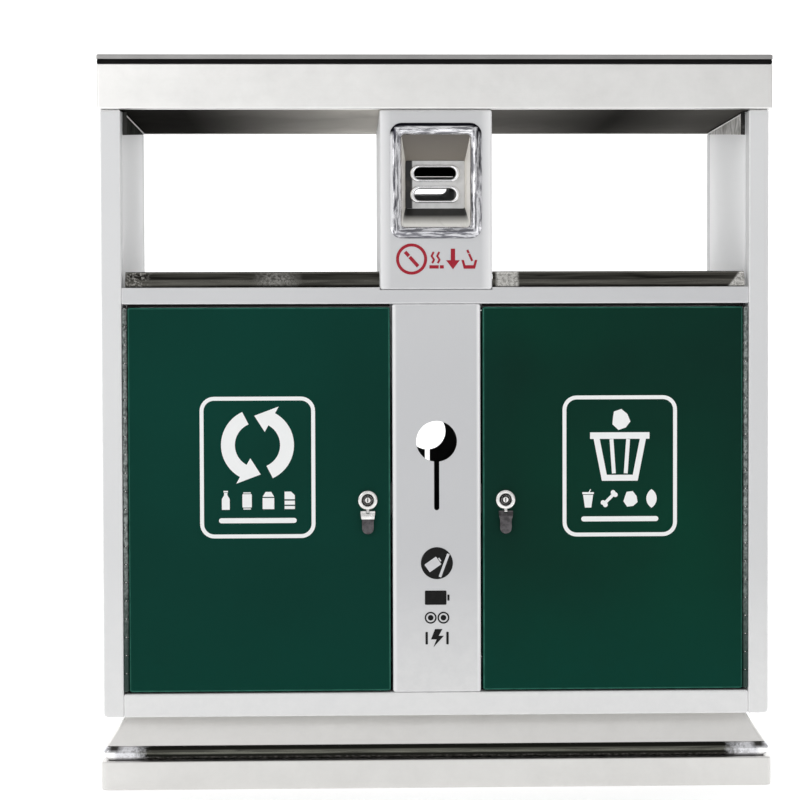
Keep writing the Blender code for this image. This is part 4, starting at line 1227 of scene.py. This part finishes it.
def loop_arrows(radius, width, count=2):
    """Arrows that chase each other round a circle."""
    shapes = []
    sweep, flare = 360.0 / count, width * 1.05
    for k in range(count):
        start = 90.0 + 24.0 + k * sweep
        stop = start + sweep - 52.0
        shapes += ribbon(arc((0, 0), radius, start, stop, 20), width)
        tip, base = math.radians(stop + 34.0), math.radians(stop - 1.0)
        shapes.append([(far * math.cos(t), far * math.sin(t))
                       for far, t in ((radius + flare, base), (radius - flare, base), (radius, tip))])
    return shapes


# Small pictograms, each about 2 units tall and centred on zero
BOTTLE = [mirrored((0.42, -1.0), (0.42, 0.15), (0.18, 0.55), (0.18, 0.82))] \
    + box_shape(0.24, 0.08, 0.02, (0, 0.95))
CAN = box_shape(0.50, 0.72, 0.08, (0, -0.05)) + box_shape(0.40, 0.06, 0.02, (0, 0.80)) \
    + box_shape(0.40, 0.06, 0.02, (0, -0.92))
CARTON = [mirrored((0.62, -0.95), (0.62, 0.25)), mirrored((0.62, 0.37), (0.30, 0.90))]
PAPER = [mirrored((0.55, -0.95), (0.55, -0.62)), mirrored((0.55, -0.48), (0.55, -0.05)),
         [(-0.55, 0.10), (0.55, 0.10), (0.55, 0.52), (0.15, 0.92), (-0.55, 0.92)]]
CUP = [mirrored((0.34, -0.95), (0.54, 0.42))] + box_shape(0.62, 0.11, 0.04, (0, 0.60)) \
    + ribbon([(0.10, 0.70), (0.28, 1.0)], 0.10)
LEAF = [arc((-0.62, 0.0), 1.18, -58, 58, 10) + arc((0.62, 0.0), 1.18, 122, 238, 10)]
CRUMPLE = [[(-0.75, -0.30), (-0.35, -0.88), (0.30, -0.80), (0.78, -0.38), (0.66, 0.28),
            (0.25, 0.80), (-0.40, 0.72), (-0.58, 0.25)]]
BONE = ribbon([(-0.50, -0.50), (0.50, 0.50)], 0.34)
for knob in ((-0.66, -0.42), (-0.42, -0.66), (0.66, 0.42), (0.42, 0.66)):
    BONE += disc(0.26, 16, knob)
CELL = box_shape(1.00, 0.66, 0.10, (-0.12, 0)) + box_shape(0.10, 0.28, 0.04, (1.06, 0))
BUTTON_CELL = hoop(0.78, 0.22) + disc(0.42, 20)
BOLT = [[(-0.22, 1.0), (0.58, 1.0), (0.18, 0.25), (0.74, 0.25), (-0.40, -1.0), (-0.06, -0.14),
         (-0.68, -0.14)]]
STUB = [mirrored((0.18, -1.0), (0.18, 0.30)), mirrored((0.18, 0.42), (0.18, 1.0))]
DOWN_ARROW = [[(-0.21, 1.0), (0.21, 1.0), (0.21, -0.12), (0.66, -0.12), (0.0, -1.0),
               (-0.66, -0.12), (-0.21, -0.12)]]
SMOKE = box_shape(0.62, 0.22, 0.03, (-0.38, -1.05)) + box_shape(0.26, 0.22, 0.03, (0.66, -1.05)) \
    + ribbon([(-0.62, -0.55), (-0.38, -0.10), (-0.70, 0.40), (-0.42, 0.95)], 0.26) \
    + ribbon([(0.12, -0.55), (0.36, -0.10), (0.04, 0.40), (0.32, 0.95)], 0.26)
TRAY = [[(-0.82, -0.10), (-0.56, -0.10), (-0.42, -0.64), (0.42, -0.64), (0.56, -0.10),
         (0.82, -0.10), (0.58, -1.0), (-0.58, -1.0)]] + moved(STUB, 0.04, 0.36, 0.62, 24)
BASKET = ribbon([(-0.80, 0.42), (-0.52, -1.0), (0.52, -1.0), (0.80, 0.42)], 0.20) \
    + ribbon([(-1.0, 0.42), (1.0, 0.42)], 0.22) + ribbon([(-0.28, 0.30), (-0.20, -0.85)], 0.13) \
    + ribbon([(0.28, 0.30), (0.20, -0.85)], 0.13) + moved(CRUMPLE, 0.02, 0.98, 0.40, 12)
BADGE_CELL = moved(CELL, -0.0045, -0.001, 0.0095, 35) \
    + ribbon([(0.004, -0.0185), (0.0155, 0.0125)], 0.0036)
BATTERY_STACK = moved(CELL, 0, 0.0270, 0.0145) + moved(BUTTON_CELL, -0.0086, 0.0, 0.0090) \
    + moved(BUTTON_CELL, 0.0086, 0.0, 0.0090) + moved(BOLT, 0, -0.0275, 0.0122) \
    + box_shape(0.0016, 0.0085, 0.0010, (-0.0140, -0.0275)) \
    + box_shape(0.0016, 0.0085, 0.0010, (0.0140, -0.0275))
STUB_RING = hoop(0.0188, 0.0040, 48) + moved(STUB, 0.0, 0.0, 0.0130, 42)
STUB_ROW = moved(SMOKE, 0.0, 0, 0.0100) + moved(DOWN_ARROW, 0.0215, 0, 0.0138) \
    + moved(TRAY, 0.0435, 0, 0.0130)


def make_door_sign(side, middle_x, picture, icons):
    border = ribbon(rounded_rectangle(0.0745, 0.0922, 0.0165, 8), 0.0052, True)
    row = []
    for index, icon in enumerate(icons):
        row += moved(icon, (index - (len(icons) - 1) / 2) * 0.0285, -0.0440, 0.0125)
    rule = box_shape(0.0520, 0.0034, 0.0033, (0, -0.0712))
    centre = (middle_x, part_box(f"door_skin_{side}")[0].y, 0.4305)
    for what, shapes in (("border", border), ("picture", moved(picture, 0.0, 0.030)),
                         ("icons", row), ("rule", rule)):
        film(f"sign_{what}_{side}", "white", shapes, centre, f"{side}_door")


def make_signs():
    make_door_sign("left", -0.2397, loop_arrows(0.0395, 0.0185), (BOTTLE, CAN, CARTON, PAPER))
    make_door_sign("right", 0.2464, moved(BASKET, 0, -0.006, 0.0400), (CUP, BONE, CRUMPLE, LEAF))
    for face, front in FACES:
        y = outer_y(f"column_panel_{face}", front)
        for name, look, shapes, z, lift in (
                ("hazard_badge", "black", disc(0.0215, 48), 0.3010, 0.0),
                ("hazard_badge_cell", "pale", BADGE_CELL, 0.3010, FILM + 0.00004),
                ("hazard_icons", "black", BATTERY_STACK, 0.2276, 0.0)):
            film(f"{name}_{face}", look, shapes, (0, y, z), front=front, lift=lift)
        y = outer_y(f"ashtray_panel_{face}", front)
        for name, shapes, x in (("stub_ring", STUB_RING, -0.0328), ("stub_icons", STUB_ROW, 0.0010)):
            film(f"{name}_{face}", "red", shapes, (x, y, 0.7085), front=front)


# ---------------------------------------------------------------- stage, light and camera

def make_stage():
    """Pale floor that curves up far behind into a pale wall."""
    size, back, rise, top = 16.0, 7.0, 2.4, 12.0
    line = [(-size, 0.0), (back - rise, 0.0)]
    line += arc((back - rise, rise), rise, -90, 0, 16)[1:] + [(back, top)]
    bm = bmesh.new()
    ribbon_faces(bm, line, lambda x, a, b: (x, a, b), (size, -size))
    floor = meshed("studio_floor", bm)
    floor.data.shade_smooth()
    g = Graph("floor_paint")
    tint = g.blend(g.noise(1.5, 3.0, 0.5), 0.93, 0.95)
    floor.data.materials.append(g.surface(tint, 0.9, Emission_Color=1.0, Emission_Strength=0.42))


def make_world():
    """Soft pale dome, a little brighter to the left."""
    world = bpy.data.worlds.new("studio")
    bpy.context.scene.world = world
    world.use_nodes = True
    tree = world.node_tree
    place = tree.nodes.new("ShaderNodeTexCoord")
    split = tree.nodes.new("ShaderNodeSeparateXYZ")
    tree.links.new(place.outputs["Generated"], split.inputs[0])
    sideways = tree.nodes.new("ShaderNodeMapRange")
    tree.links.new(split.outputs["X"], sideways.inputs["Value"])
    for key, number in (("From Min", -0.6), ("From Max", 0.6), ("To Min", 0.80), ("To Max", 0.66)):
        sideways.inputs[key].default_value = number
    background = tree.nodes["Background"]
    background.inputs["Color"].default_value = (1.0, 1.0, 1.0, 1.0)
    tree.links.new(sideways.outputs["Result"], background.inputs["Strength"])


def softbox(name, place, aim, size, power, colour=(1.0, 1.0, 1.0)):
    light = bpy.data.lights.new(name, "AREA")
    light.shape = "RECTANGLE"
    light.size, light.size_y = size
    light.energy = power
    light.color = colour
    obj = placed(name, light)
    obj.location = place
    obj.rotation_euler = (Vector(aim) - Vector(place)).to_track_quat("-Z", "Y").to_euler()


def make_lights():
    softbox("key_softbox", (-1.9, -3.2, 1.9), (0.0, 0.0, 0.5), (1.8, 1.8), 12.0, (1.0, 0.99, 0.975))
    softbox("backdrop_softbox", (0.0, 3.2, 4.5), (0.0, 6.5, 0.0), (5.0, 2.0), 30.0)


def make_camera():
    data = bpy.data.cameras.new("camera")
    data.sensor_width = 36.0
    data.lens = 93.8
    camera = placed("camera", data)
    turn_right, tip_down, roll = 1.439, 1.526, -0.175
    spin = Matrix.Rotation(math.radians(-turn_right), 4, "Z") \
        @ Matrix.Rotation(math.radians(90.0 - tip_down), 4, "X") \
        @ Matrix.Rotation(math.radians(roll), 4, "Z")
    camera.matrix_world = Matrix.Translation((-0.1189, -2.953, 0.5945)) @ spin
    bpy.context.scene.camera = camera


for make in (make_camera, make_cap, make_plinth, make_posts, make_panels, make_rails, make_column,
             make_sill_guards, make_doors, make_ashtrays, make_buckets, dress_cad_nodes, make_signs,
             make_stage, make_world, make_lights):
    make()
bpy.context.scene.view_settings.view_transform = "Standard"
